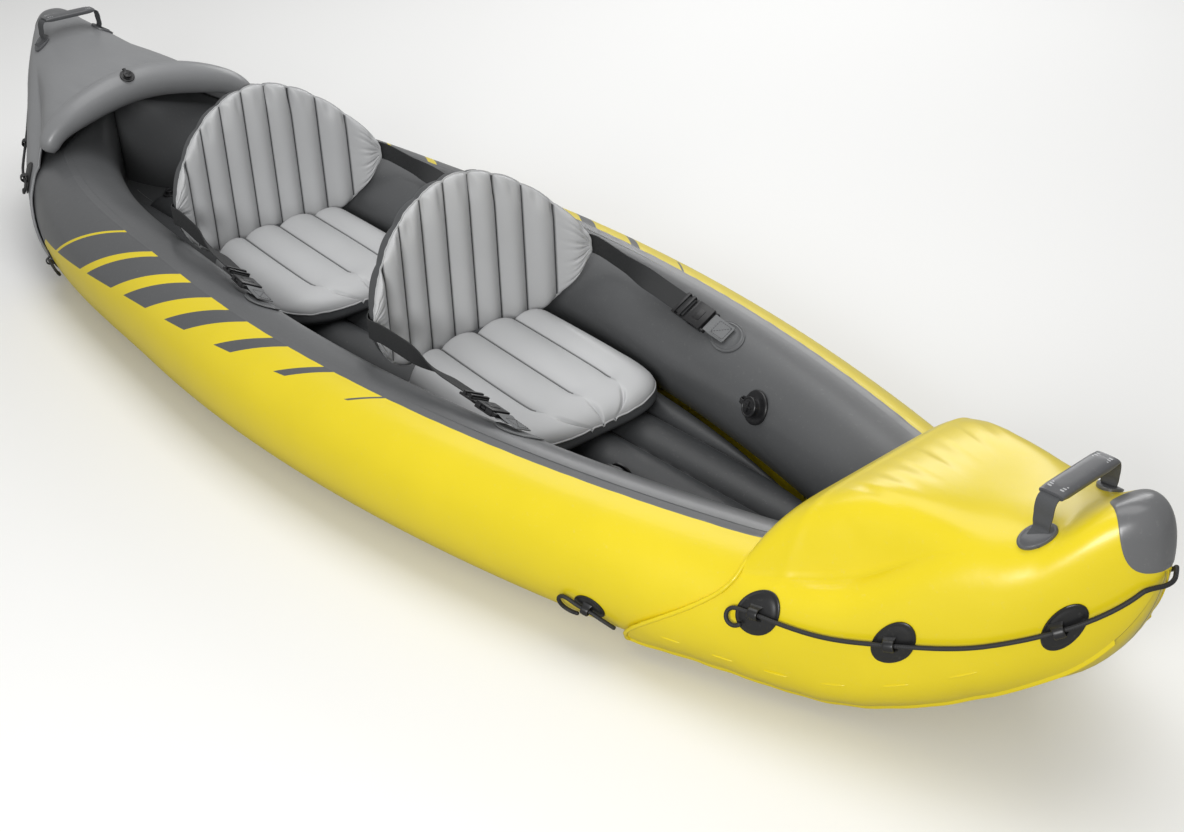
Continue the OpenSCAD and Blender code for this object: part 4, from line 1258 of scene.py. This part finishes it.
# %% Grab lines
SIDE_SHARES = (0.725, 0.742, 0.765, 0.785, 0.805, 0.825, 0.84, 0.86, 0.88, 0.9)
NOSE_TURNS = (10, 19, 25, 31, 37, 43, 50, 57, 64, 70, 76)
LINE_X = [f * TIP for f in SIDE_SHARES] + [float(round_tip(a)) for a in NOSE_TURNS]
LOOP_TURNS = np.radians((230, 195, 160, 125, 90, 55, 25, 0))[:, None]
LOOP_R, LOOP_BACK = 13, 28


def line_route(end):
    start = line_point(LINE_AT[0], end)
    e, _ = line_axes(LINE_AT[0], end)
    d = np.cross(surface_axes(DECKS[end], LINE_AT[0], line_turn(LINE_AT[0]))[1], e)
    turns = -np.sin(LOOP_TURNS) * e - np.cos(LOOP_TURNS) * d
    loop = start - LOOP_BACK * e + LOOP_R * d + LOOP_R * turns
    half = np.vstack([loop, start - 14 * e, [line_point(x, end) for x in LINE_X]])
    top = np.array([[TIP + LINE_OFF - 1.5, 0, half[-1][2]]])
    return np.vstack([half, top, half[::-1] * (1, -1, 1)])


def make_cord(name, route, node):
    path = resample(route, 3.0)
    cord = wear(hose(name, path, CORD_R, sides=14), CORD, "black_cord", "hull", node)
    length = along(path)[-1] * MM
    return length


for end, sx in (("bow", 1), ("stern", -1)):
    length = make_cord(end + "_grab_cord", line_route(end) * (sx, 1, 1), end + "_grab_line")
    print(end, "grab line length", round(length, 3), "m")

# %% [markdown]
# ## Hem ties
# The drawcord of each cover leaves its hem at the lower corner and is tied through a small rubber
# loop patch on the chamber.

# %% Hem ties
TIE_X, TIE_T, TIE_SIZE = SWEEP_X - 45, 109.0, (26, 21)
TIE_OFF = PATCH_GAP + PATCH_T + LINE_R + 1
TIE_STEPS = np.array(((38, 12), (26, 7), (14, 2.6), (7, 0.9), (-7, -0.9), (-16, -2.4), (-28, -6), (-40, -6),
                      (-49, 0), (-47, 8), (-36, 12), (-24, 11)))
SIDES = {"bow": chamber, "stern": stern_chamber}


def tie_point(end, dx, dt):
    return SIDES[end](TIE_X + dx, TIE_T + dt, TIE_OFF)


def tie_patch(end):
    e = unit(tie_point(end, 8, 1) - tie_point(end, -8, -1))
    n = surface_axes(SIDES[end], TIE_X, TIE_T)[1]
    n = unit(n - (n @ e) * e)
    base = skin_disc("tie", SIDES[end], 0, TIE_X, TIE_T, TIE_SIZE, RUBBER_RINGS)
    strip = bridge("bridge", tie_point(end, 0, 0), e, n, LINE_R + 2.6, LINE_R + 2.6, 12)
    return join("tie", [base, strip])


for end, sx in (("bow", 1), ("stern", -1)):
    rubbers = moved(both_sides(tie_patch(end), end + "_tie_rubbers"), ENDS[end])
    wear(rubbers, RUBBER, "black_rubber", "hull", end + "_tie_patches")
    route = tie_point(end, *TIE_STEPS.T)
    for side, sy in (("port", 1), ("starboard", -1)):
        length = make_cord(f"{end}_{side}_hem_cord", route * (sx, sy, 1), end + "_tie_cords")
    print(end, "hem cord length", round(length, 3), "m")

# %% [markdown]
# ## Carry handles
# The ends of a handle's webbing are held under a round foot on each side, and its middle carries a vinyl
# sleeve.

# %% Carry handles
HANDLE_W, HANDLE_H, WEB_T = 30.0, 39.0, 2.4
FOOT_T, FOOT_GAP, FOOT_RISE = 32.0, 1.8, 13.0
FOOT_R, LEG_IN, GRIP_SHORT = 22, 13, 24
FOOT_RINGS = [(1.0, -0.6), (1.0, 3.0), (0.96, 4.0), (0.9, 4.2), (0.84, 3.7), (0.8, 4.1), (0.5, 4.4),
              (0.0, 4.5)]
GRIP_THICK = 13
RIB_SIZE, RIB_OUT = (5.5, 2.2, 1.2), 9


def handle_places(end):
    """Foot, foot normal, pivot, leg distance and grip length of one handle."""
    foot = DECKS[end](HANDLE_X, FOOT_T, COVER_OUT + FOOT_GAP + PATCH_T)
    n = surface_axes(DECKS[end], HANDLE_X, FOOT_T)[1]
    pivot = foot + n * FOOT_RISE
    leg = pivot[1] - LEG_IN
    return foot, n, pivot, leg, 2 * leg - GRIP_SHORT


def handle_foot(end):
    foot = skin_disc("foot", DECKS[end], COVER_OUT, HANDLE_X, FOOT_T, (FOOT_R, FOOT_R), FOOT_RINGS)
    return both_sides(foot, end + "_handle_pads")


def handle_webbing(end):
    foot, _, pivot, leg, _ = handle_places(end)
    top = pivot[2] + HANDLE_H - WEB_T / 2
    side = [(foot[1] + 12, foot[2] - 9), (foot[1], foot[2] - 1.6), (foot[1] - 9, foot[2] + 4),
            (leg + 1, pivot[2] + 1), (leg - 1, pivot[2] + 12), (leg - 1, pivot[2] + 24),
            (leg - 4, top - 4), (leg - 12, top)]
    half = np.array([(HANDLE_X, y, z) for y, z in side])
    path = resample(np.vstack([half, half[::-1] * (1, -1, 1)]), 2.5)
    wide = np.where(path[:, 2] < pivot[2] + 4, 24, HANDLE_W - 2)
    wide = np.convolve(np.pad(wide, 4, "edge"), np.ones(9) / 9, "valid")
    return ribbon(end + "_handle_webbing", path, (1, 0, 0), wide, WEB_T)


def handle_grip(end):
    _, _, pivot, _, long = handle_places(end)
    y = np.linspace(-long / 2, long / 2, 44)
    z = pivot[2] + HANDLE_H - WEB_T / 2
    path = np.stack([0 * y + HANDLE_X, y, 0 * y + z], -1)
    pinch = 1 - 0.35 * near(np.abs(y), long / 2, 9)
    wide = (HANDLE_W + 6) * (0.94 + 0.06 * pinch)
    sleeve = ribbon("sleeve", path, (1, 0, 0), wide, GRIP_THICK * pinch, square=0.62, sides=36)
    rows = [paint(sleeve, SLEEVE)]
    for side in (-1, 1):
        x = HANDLE_X + RIB_OUT * side
        for inset in (9, 14, 19):
            rib = block("rib", RIB_SIZE, (x, inset - long / 2, z + 5.6), 0.4)
            twin = block("rib", RIB_SIZE, (x, long / 2 - inset, z + 5.6), 0.4)
            rows += [paint(rib, FLANGE_FILM), paint(twin, FLANGE_FILM)]
    return join(end + "_handle_sleeve", rows)


for end, sx in (("bow", 1), ("stern", -1)):
    wear(moved(handle_foot(end), ENDS[end]), SLEEVE, "grey_pvc", "hull", end + "_handle_feet")
    grip = moved(handle_grip(end), ENDS[end])
    wear(grip, None, "grey_vinyl_sleeve", end + "_handle", end + "_handle_grip")
    web = paint(moved(handle_webbing(end), ENDS[end]), WEBBING)
    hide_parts(end + "_handle_strap")
    pivot = handle_places(end)[2]
    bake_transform(web)
    print(end, "handle pivot", np.round(pivot, 1))

# %% [markdown]
# ## Valves
# Five valves share one design: a welded flange, a collar with a bore and a cap on a short strap.
# Base and cap are turned or cut from blocks once, standing on the origin, and copied to each
# place. The three small valves are the same shape at a little over half the size.

# %% Valves
BASE_PROFILE = [(30, 0.8), (30, 3.4), (28.8, 4.9), (26, 5.6), (23, 5.2), (17.6, 5.4), (15.6, 6.4),
                (15, 7.6), (15, 13.2), (14.4, 14), (11.6, 14), (11, 13.2), (11, 2.8), (0.05, 2.8)]
CAP_PROFILE = [(0.05, 15.4), (16.8, 15.4), (18, 16.2), (18, 18.4), (17.2, 19.3), (15, 19.4), (14.2, 18.7),
               (12.6, 18.7), (11.8, 19.1), (0.05, 19.2)]
PIN_PROFILE = [(0.05, -5), (3, -5), (3, 5), (0.05, 5)]
PIN_AT = (-34 * MM, 0, 3.7 * MM)
VALVE_STEPS = 56
SMALL = Matrix.Scale(0.56, 4)


def valve_cap():
    """Lid, grip ribs and the short strap that ends in the hinge's knuckle."""
    ribs = [block("rib", size, (0, 0, 20.2), 0.5) for size in ((20, 3, 2.6), (3, 20, 2.6))]
    bend = [(-12, 0, 17.2), (-22, 0, 17.2), (-30, 0, 14), (-33.4, 0, 9), (-34, 0, 3.7)]
    strap = ribbon("strap", resample(bend, 1.2), (0, 1, 0), 8.8, 2.6, square=0.4)
    knuckle = moved(turned("knuckle", PIN_PROFILE, 20), Matrix.Rotation(math.pi / 2, 4, "X"))
    knuckle.data.transform(Matrix.Translation(PIN_AT))
    return join("valve_cap", [turned("lid", CAP_PROFILE, VALVE_STEPS), *ribs, strap, knuckle])


PORT_VALVE = frame_at((0.97681, -0.214109, 0), (-0.19916, -0.90861, 0.367102), (738, 158.661, 158.231))
VALVES = {
    "port": PORT_VALVE,
    "starboard": TO_STARBOARD @ PORT_VALVE,
    "floor": frame_at((1, 0, 0), (0, 0, 1), (-1040, 0, 72.9)) @ SMALL,
    "arch": TO_STERN @ frame_at((-0.8, 0, -0.6), (-0.6, 0, 0.8), (1065.81, -41.105, 368.232)) @ SMALL,
    "roll": frame_at((0, 1, 0), (-0.8, 0, -0.6), (1171.6, 20, 263.672)) @ SMALL,
}
for place, spot in VALVES.items():
    base = moved(turned("valve_base", BASE_PROFILE, VALVE_STEPS), spot)
    wear(base, PLASTIC, "black_plastic", "hull", place + "_valve_base")
    base.name = place + "_valve_flange"
    cap = moved(valve_cap(), spot)
    wear(cap, PLASTIC, "black_plastic", place + "_valve_cap", place + "_valve_cap")
    cap.name = place + "_valve_lid"
print("valves", len(VALVES))

# %% [markdown]
# ## Seat cushions
# Each cushion is a silver top sheet over a dark lower panel. Four channels are welded into the
# top. The welds stop short of the front, and the film gathers in small darts in line with them.
# The sheet's first UV is the distance to the nearest weld, which the silver film reads as a line of painted
# shade in the weld's valley.

# %% Cushions
SEATS = {"front": 164.0, "rear": -536.0}
SEAT_Z, BACK_HALF, BACK_H, BACK_FOOT = 72.9, 250.0, 340.0, 118.9
CUSHION_HALF, CUSHION_L, CUSHION_H, CUSHION_TILT = 178.0, 366.0, 60.0, 32.0
PIPING_R, SAME_POINT = 1.7, 0.4


def wrap(y):
    return 84 * (np.abs(y) / BACK_HALF) ** 3


def cushion_half(v):
    bulge = CUSHION_HALF * (0.965 + 0.035 * np.sin(np.radians(150 * v)))
    front = np.clip((v - 0.6) / 0.404, 0, 1)
    return bulge * np.cbrt(1 - front ** 3)


def cushion_rim(s, v):
    y = s * cushion_half(v)
    x = 3.9 + wrap(y) * 0.9 + v * (CUSHION_L - wrap(y) * 0.5 - 6)
    height = CUSHION_H + CUSHION_TILT * (1 - v)
    return x, y, SEAT_Z + height * 0.45, height


def cushion_soft(s, v):
    """1 inside the cushion, falling to 0 at its edges; the back edge is the squarest."""
    ends = 1 - np.abs(2 * v - 1) ** np.where(v < 0.5, 60, 8)
    return np.sqrt(np.clip((1 - np.abs(s) ** 6) * ends, 0, 1))


def cushion_top(v, s):
    x, y, rim, height = cushion_rim(s, v)
    soft = cushion_soft(s, v)
    held = 1 - ease(np.clip((v - 0.74) / 0.12, 0, 1))
    hump = np.sqrt(np.abs(np.sin(2 * np.pi * s)))
    hump = hump * held + (0.86 + 0.14 * hump) * (1 - held)
    dart = near(np.abs(np.mod(s + 0.25, 0.5) - 0.25), 0, 0.035) * near(v, 0.965, 0.055) * (np.abs(s) < 0.8)
    gather = ripple(y + 0.5 * x, 7.7, 11.9, 5.3) * (1 - soft) ** 2
    up = rim + 3 + (height * 0.55 - 4) * (0.56 + 0.44 * hump) * soft - 9 * dart + 1.2 * gather
    return np.stack([x, y, up], -1)


def cushion_under(v, s):
    x, y, rim, height = cushion_rim(s, v)
    bulge = 3.5 * np.sin(np.pi * np.clip(cushion_soft(s, v) * 2.2, 0, 1))
    down = rim + 3 - (height * 0.45 + 2.4) * np.clip(cushion_soft(s, v) * 1.5, 0, 1) ** 0.6
    return np.stack([x + np.where(v > 0.5, bulge, 0), y + np.sign(s) * bulge * (np.abs(s) > 0.6), down], -1)


def cushion_weld(v, s):
    """Distance to the nearest channel weld in metres, and the place along the sheet."""
    near_weld = np.abs(np.mod(s + 0.25, 0.5) - 0.25) * cushion_half(v)
    past_weld = 40 * np.clip((v - 0.78) / 0.1, 0, 1)
    return (near_weld + past_weld + 60 * (np.abs(s) > 0.8)) * MM, v * CUSHION_L * MM


def close_set(a, b, count):
    """Numbers from a to b, drawn together at both ends."""
    return a + (b - a) * (1 - np.cos(np.linspace(0, np.pi, count))) / 2


def perimeter(place, us, vs):
    """The edge of a sheet as one closed path, without points that fall together."""
    u0, u1, v0, v1 = us[0], us[-1], vs[0], vs[-1]
    ring = [(u, v0) for u in us] + [(u1, v) for v in vs]
    ring += [(u, v1) for u in us[::-1]] + [(u0, v) for v in vs[::-1]]
    u, v = np.array(ring).T
    rim = place(u, v)
    apart = np.linalg.norm(np.diff(rim, axis=0), axis=1) > SAME_POINT
    return rim[np.concatenate([[True], apart])]


def make_cushion(seat):
    at = Matrix.Translation((SEATS[seat] * MM, 0, 0))
    top = paint(sheet("top", cushion_v, cushion_s, cushion_top, uv=cushion_weld, closed=False), SILVER_FILM)
    under = paint(sheet("under", cushion_v, cushion_s, cushion_under, closed=False), DARK_FILM)
    rim = resample(perimeter(cushion_top, cushion_v, cushion_s), 4.0)
    piping = paint(hose("piping", rim, PIPING_R, sides=8), FLANGE_FILM)
    made = weld(join(seat + "_seat_cushion", [top, under, piping]), CLOSE_GAP)
    return wear(moved(smooth_shade(made), at), None, "silver_vinyl", "hull", seat + "_cushion")


weld_s = [c + np.linspace(-0.06, 0.06, 13) for c in (-0.5, 0, 0.5)]
cushion_s = np.unique(np.concatenate([close_set(-1, 1, 60), *weld_s]))
cushion_v = close_set(0, 1, 80)
cushions = [make_cushion(seat) for seat in SEATS]
print("cushion faces", len(cushions[0].data.polygons))

# %% [markdown]
# ## Backrests
# A backrest is a fan of nine welded tubes. The silver front and the dark rear panel meet in a flat
# welded flange, and the film gathers in short creases where the flange holds it. Front, rear and
# flange are three sheets on the same outline, joined so that each keeps its own film.

# %% Backrests
RIM_D, BACK_TOP_DROP, BACK_X = 7.0, 5.0, -30.9
TUBES, ARC = 9, 64.0
FLANGE_W, FLANGE_THICK, FLANGE_OUT, CRIMP = 4.0, 1.4, 0.3, 1.3
WEB_W, BAND_V, BAND_OUT = 38.0, 0.44, 2.6
WELT_HALF, WELT_Z, WELT_R = 44, 142.9, 5.8


def back_mid(y):
    return BACK_X + wrap(y)


def back_low(s):
    return BACK_FOOT + BACK_H * 0.38 * np.abs(s) ** 4.4


def tube_hump(s):
    """A row of round arcs, 0 in the welds and 1 on each tube's crown."""
    u = TUBES * np.asarray(s, float) / 2
    low = np.cos(np.radians(ARC))
    return (np.cos(np.radians(2 * ARC * (u - np.rint(u)))) - low) / (1 - low)


def back_high(s):
    fan = 0.48 + 0.52 * np.clip(1 - np.abs(s) ** 1.8, 0, 1) ** 0.8
    return BACK_FOOT + BACK_H * fan - BACK_TOP_DROP - 3.5 * (1 - tube_hump(s))


def back_soft(s, v):
    return np.sqrt(np.clip((1 - np.abs(s) ** 10) * (1 - np.abs(2 * v - 1) ** 10), 0, 1))


def back_place(s, v, d):
    y = s * (BACK_HALF - 4)
    return np.stack([back_mid(y) + d, y, back_low(s) + v * (back_high(s) - back_low(s))], -1)


def back_front(s, v):
    soft = back_soft(s, v)
    y, z = s * BACK_HALF, v * BACK_H
    side = np.clip(ripple(z + 0.3 * y, 4.6, 7.3), 0, 1) * near(np.abs(s), 0.97, 0.1)
    top = np.clip(ripple(y, 4.1, 6.3), 0, 1) * near(v, 0.95, 0.08)
    d = RIM_D + 19 * (0.04 + 0.96 * tube_hump(s)) * soft ** 0.8 - 8 * np.maximum(side, top) * soft ** 0.5
    return back_place(s, v, d)


def back_rear(s, v):
    soft = back_soft(s, v)
    gather = ripple(s * BACK_HALF + 0.8 * v * BACK_H, 11.3, 17.7, 7.1) * (1 - soft ** 2)
    hump = 0.82 + 0.18 * tube_hump(s)
    return back_place(s, v, RIM_D - 30 * hump * soft ** 0.46 + 2.2 * gather * soft)


# The first UV, the distance to the nearest weld, places the silver film's painted shade in the weld
# valleys.
def back_weld(s, v):
    pitch = BACK_HALF * 2 / TUBES
    off = np.abs(np.mod(s * BACK_HALF, pitch) - pitch / 2)
    return (off + 60 * (np.abs(s) > 0.95)) * MM, v * BACK_H * MM


welds = [(2 * k + 1) / TUBES for k in range(-5, 5)]
back_s = np.concatenate([close_set(-1, 1, 110)] + [w + np.linspace(-0.03, 0.03, 7) for w in welds])
back_s = np.unique(np.round(back_s[np.abs(back_s) <= 1], 5))
back_v = close_set(0, 1, 64)


def make_backrest(seat):
    front = paint(sheet("front", back_s, back_v, back_front, uv=back_weld, closed=False), SILVER_FILM)
    rear = paint(sheet("rear", back_s[::-1], back_v, back_rear, closed=False), DARK_FILM)
    rim = resample(perimeter(back_front, back_s, back_v), 3.0)
    tangent = unit(np.gradient(rim, axis=0))
    out = unit(np.cross(tangent, (1.0, 0, 0)))
    crimp = CRIMP * ripple(along(rim), 2.9, 4.3, 6.1)
    path = rim + out * FLANGE_OUT + np.stack([crimp, 0 * crimp, 0 * crimp], -1)
    flange = paint(ribbon("flange", path, out, FLANGE_W, FLANGE_THICK), FLANGE_FILM)
    made = join(seat + "_seat_back", [front, rear, flange])
    return moved(smooth_shade(made), Matrix.Translation((SEATS[seat] * MM, 0, 0)))


def make_band(seat):
    """The webbing across the rear of a backrest; it lies on the film."""
    s = np.linspace(-0.93, 0.93, 150)
    middle = back_rear(s, 0 * s + BAND_V)
    up = unit(back_rear(s, 0 * s + 0.5) - back_rear(s, 0 * s + 0.38))
    out = unit(np.cross(np.gradient(middle, axis=0), up))
    out *= -np.sign(out[:, :1])
    band = ribbon(seat + "_band", middle + out * BAND_OUT, up, WEB_W, WEB_T)
    return moved(band, Matrix.Translation((SEATS[seat] * MM, 0, 0)))


def make_welt(seat):
    """The round fold on which a backrest turns."""
    y = np.linspace(-WELT_HALF, WELT_HALF, 30)
    path = np.stack([0 * y + SEATS[seat], y, 0 * y + WELT_Z], -1)
    return hose(seat + "_hinge_fold", path, WELT_R, sides=16)


for seat in SEATS:
    body = seat + "_backrest"
    back = wear(make_backrest(seat), None, "silver_vinyl", body, body)
    wear(make_band(seat), STRAP_WEBBING, "grey_webbing", body, seat + "_back_band")
    wear(make_welt(seat), WEBBING, "grey_webbing", "hull", seat + "_hinge_welt")
print("backrest faces", len(back.data.polygons))

# %% [markdown]
# ## Straps and buckles
# Each backrest is held by a strap on both sides. It runs from a stitched tab on an oval patch,
# through a side-release buckle, to the wing of the backrest and round it to the band behind. The
# pieces are modelled in the strap's own frame on the port side, X along the strap and Z away from
# the hull, and then mirrored.

# %% Strap line
ANCHOR_DX, ANCHOR_T, ANCHOR_SIZE, TAB_L = 430.0, -31.0, (44, 30), 48.0
ANCHOR_RINGS = [(1.0, 0.3), (1.0, 1.2), (0.975, 2.0), (0.94, 2.1), (0.91, 1.5), (0.86, 1.4),
                (0.835, 2.0), (0.8, 2.1), (0.775, 1.5), (0.6, 1.6), (0.4, 1.6), (0.2, 1.6), (0.0, 1.6)]


def strap_line(seat):
    """Start, direction, outward normal and length of a port strap."""
    x = SEATS[seat]
    start = chamber(x + ANCHOR_DX, ANCHOR_T, PATCH_GAP + PATCH_T + 2.9)
    end = np.array((x + back_mid(BACK_HALF) + 10, BACK_HALF + 4, 264.0))
    e = unit(end - start)
    n = surface_axes(chamber, x + ANCHOR_DX, ANCHOR_T)[1]
    n = unit(n - (n @ e) * e)
    return start + TAB_L * e, e, n, np.linalg.norm(end - start) - TAB_L


def strap_frame(seat):
    at, e, n, _ = strap_line(seat)
    return frame_at(e, n, at)


for seat in SEATS:
    rings = [(k, PATCH_GAP + h) for k, h in ANCHOR_RINGS]
    oval = skin_disc("oval", chamber, 0, SEATS[seat] + ANCHOR_DX, ANCHOR_T, ANCHOR_SIZE, rings)
    wear(both_sides(oval, seat + "_anchor_ovals"), INNER_FILM, "grey_pvc", "hull", seat + "_anchor_patches")
    print(seat, "strap length", round(float(strap_line(seat)[3]), 1), "mm")

# %% [markdown]
# A buckle is a list of blocks, each a size and a place in the strap's frame. The socket stays with the
# hull and the clip slides out of it along the strap. The tab is a loop of webbing round the socket's
# bar, sewn down under a pad with a box of stitches and a diagonal.

# %% Tabs and buckles
SOCKET = [((38, 46, 2.6), (19, 0, 4.7)), ((38, 46, 2.6), (19, 0, -4.7)), ((8, 46, 7), (4, 0, 0)),
          ((6, 3, 7), (11, 21.5, 0)), ((6, 3, 7), (11, -21.5, 0)), ((11, 3, 7), (32.5, 21.5, 0)),
          ((11, 3, 7), (32.5, -21.5, 0)), ((11, 4, 6), (-4.5, 20, 0)), ((11, 4, 6), (-4.5, -20, 0)),
          ((3, 44, 6), (-8.5, 0, 0)), ((16, 22, 1.2), (21, 0, 6.2))]
CLIP = [((30, 6, 4.4), (26, 0, 0)), ((30, 4.8, 4.4), (26, 17, 0)), ((30, 4.8, 4.4), (26, -17, 0)),
        ((9, 4, 4.4), (20.5, 20, 0)), ((9, 4, 4.4), (20.5, -20, 0)), ((8, 46, 4.8), (43, 0, 0)),
        ((38, 46, 4.4), (58, 0, 0)), ((6, 46, 2.6), (53.5, 0, 7.1)), ((6, 46, 2.6), (67.5, 0, 7.1))]
CLIP += [((6, 3, 7), (x, y, 4.5)) for x in (53.5, 67.5) for y in (21.5, -21.5)]
TAB_PATH = [(-30, 0, -1.6), (-14, 0, -2.2), (-9.5, 0, -4.8), (-5.2, 0, -3), (-4.8, 0, 0),
            (-5.2, 0, 3), (-9.5, 0, 4.9), (-14, 0, 3.4), (-22, 0, 1.5), (-55, 0, 0.8)]
PAD_PATH = [(-20, 0, 2.9), (-26, 0, 2.9), (-48, 0, 2.5), (-57, 0, 1.9)]
BOX_STITCH = [(-23, 13, 3.9), (-53, 13, 3.3), (-53, -13, 3.3), (-23, -13, 3.9), (-23, 13, 3.9),
              (-53, -13, 3.3)]


def moulded(name, blocks):
    return join(name, [block(name, size, at, min(0.9, min(size) * 0.3)) for size, at in blocks])


def tab(name):
    loop = ribbon("loop", resample(TAB_PATH, 1.6), (0, 1, 0), WEB_W - 2, 2.0)
    pad = ribbon("pad", resample(PAD_PATH, 1.6), (0, 1, 0), 31, 1.8, square=0.3)
    corners = np.array(BOX_STITCH, float)
    far = along(corners)
    thread = stitch_row("thread", point_at(corners, far, np.linspace(0, far[-1], 90)), (0, 0, 1))
    return join(name, [paint(loop, TAB_WEBBING), paint(pad, TAB_WEBBING), paint(thread, WEBBING)])


for seat in SEATS:
    port_frame = strap_frame(seat)
    tabs = both_sides(moved(tab("tab"), port_frame), seat + "_anchor_webs")
    wear(tabs, None, "grey_webbing", "hull", seat + "_anchor_tabs")
    sockets = both_sides(moved(moulded("socket", SOCKET), port_frame), seat + "_buckle_shells")
    wear(sockets, PLASTIC, "black_plastic", "hull", seat + "_buckle_sockets")
    for side, turn in (("port", Matrix.Identity(4)), ("starboard", TO_STARBOARD)):
        body = f"{seat}_{side}_buckle_clip"
        clip = moved(moulded(f"{seat}_{side}_clip_moulding", CLIP), turn @ port_frame)
        wear(clip, PLASTIC, "black_plastic", body, body)
print("buckles", 2 * len(SEATS))

# %% [markdown]
# The strap leaves the clip flat, turns on edge on its way aft and bends round the wing of the backrest.

# %% Straps
STRAP_UP, TWIST_FROM, TWIST_LONG = 3.9, 0.22, 0.34


def strap_path(seat):
    """Middle line and width directions of a port strap, from the clip to the band."""
    at, e, n, long = strap_line(seat)
    x = SEATS[seat]
    wing = back_mid(BACK_HALF)
    run = [at + e * d + n * STRAP_UP for d in (47, 62, 110, long * 0.6, long - 22)]
    end = back_rear(np.array([0.985, 0.95, 0.91]), np.full(3, BAND_V)) + (x - 3.4, 0, 0)
    bend = np.array([(x + wing + 8, BACK_HALF + 3.6, 263.4), (x + wing - 8, BACK_HALF + 2.4, 262.5)])
    path = resample(np.vstack([run, bend, end + ((-1, 2, 0), (0, 1, 0), (0, 0, 0))]), 3.0)
    far = along(path) / along(path)[-1]
    turn = ease(np.clip((far - TWIST_FROM) / TWIST_LONG, 0, 1))[:, None]
    flat, tall = unit(np.cross(e, n)), np.array((0, 0, 1.0))
    across = unit(flat * (1 - turn) + tall * turn)
    tangent = unit(np.gradient(path, axis=0))
    return path, unit(across - (across * tangent).sum(1)[:, None] * tangent)


for seat in SEATS:
    path, across = strap_path(seat)
    strap = both_sides(ribbon("strap", path, across, WEB_W, WEB_T), seat + "_side_straps")
    paint(strap, STRAP_WEBBING)
    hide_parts(seat + "_straps")
    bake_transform(strap)
    print(seat, "strap path", round(float(along(path)[-1])), "mm")

# %% [markdown]
# ## The covers' cut size
# Each cover is one cut sheet stretched over its end of the boat. Its cut size is measured on the curve: the
# longest way from hem to hem, the longest way along, and the area between.

# %% Cover cut sizes


def cut_size(stern):
    """Width, length and area of a cover's sheet, in metres."""
    v, f = np.meshgrid(np.linspace(0, 2, 60), np.linspace(-2, 2, 120), indexing="ij")
    grid = cover(cover_x(v, f, stern), f, COVER_OUT, stern) * MM
    down, over = np.diff(grid, axis=0), np.diff(grid, axis=1)
    area = np.linalg.norm(np.cross(down[:, :-1], over[:-1]), axis=-1).sum()
    return np.linalg.norm(over, axis=-1).sum(1).max(), np.linalg.norm(down, axis=-1).sum(0).max(), area


for piece, stern, below in ((bow_cover, False, "bow_roll"), (stern_cover, True, "stern_arch")):
    wide, long, area = cut_size(stern)
    print(piece.name, "cut", round(wide, 3), "by", round(long, 3), "m, area", round(area, 3))
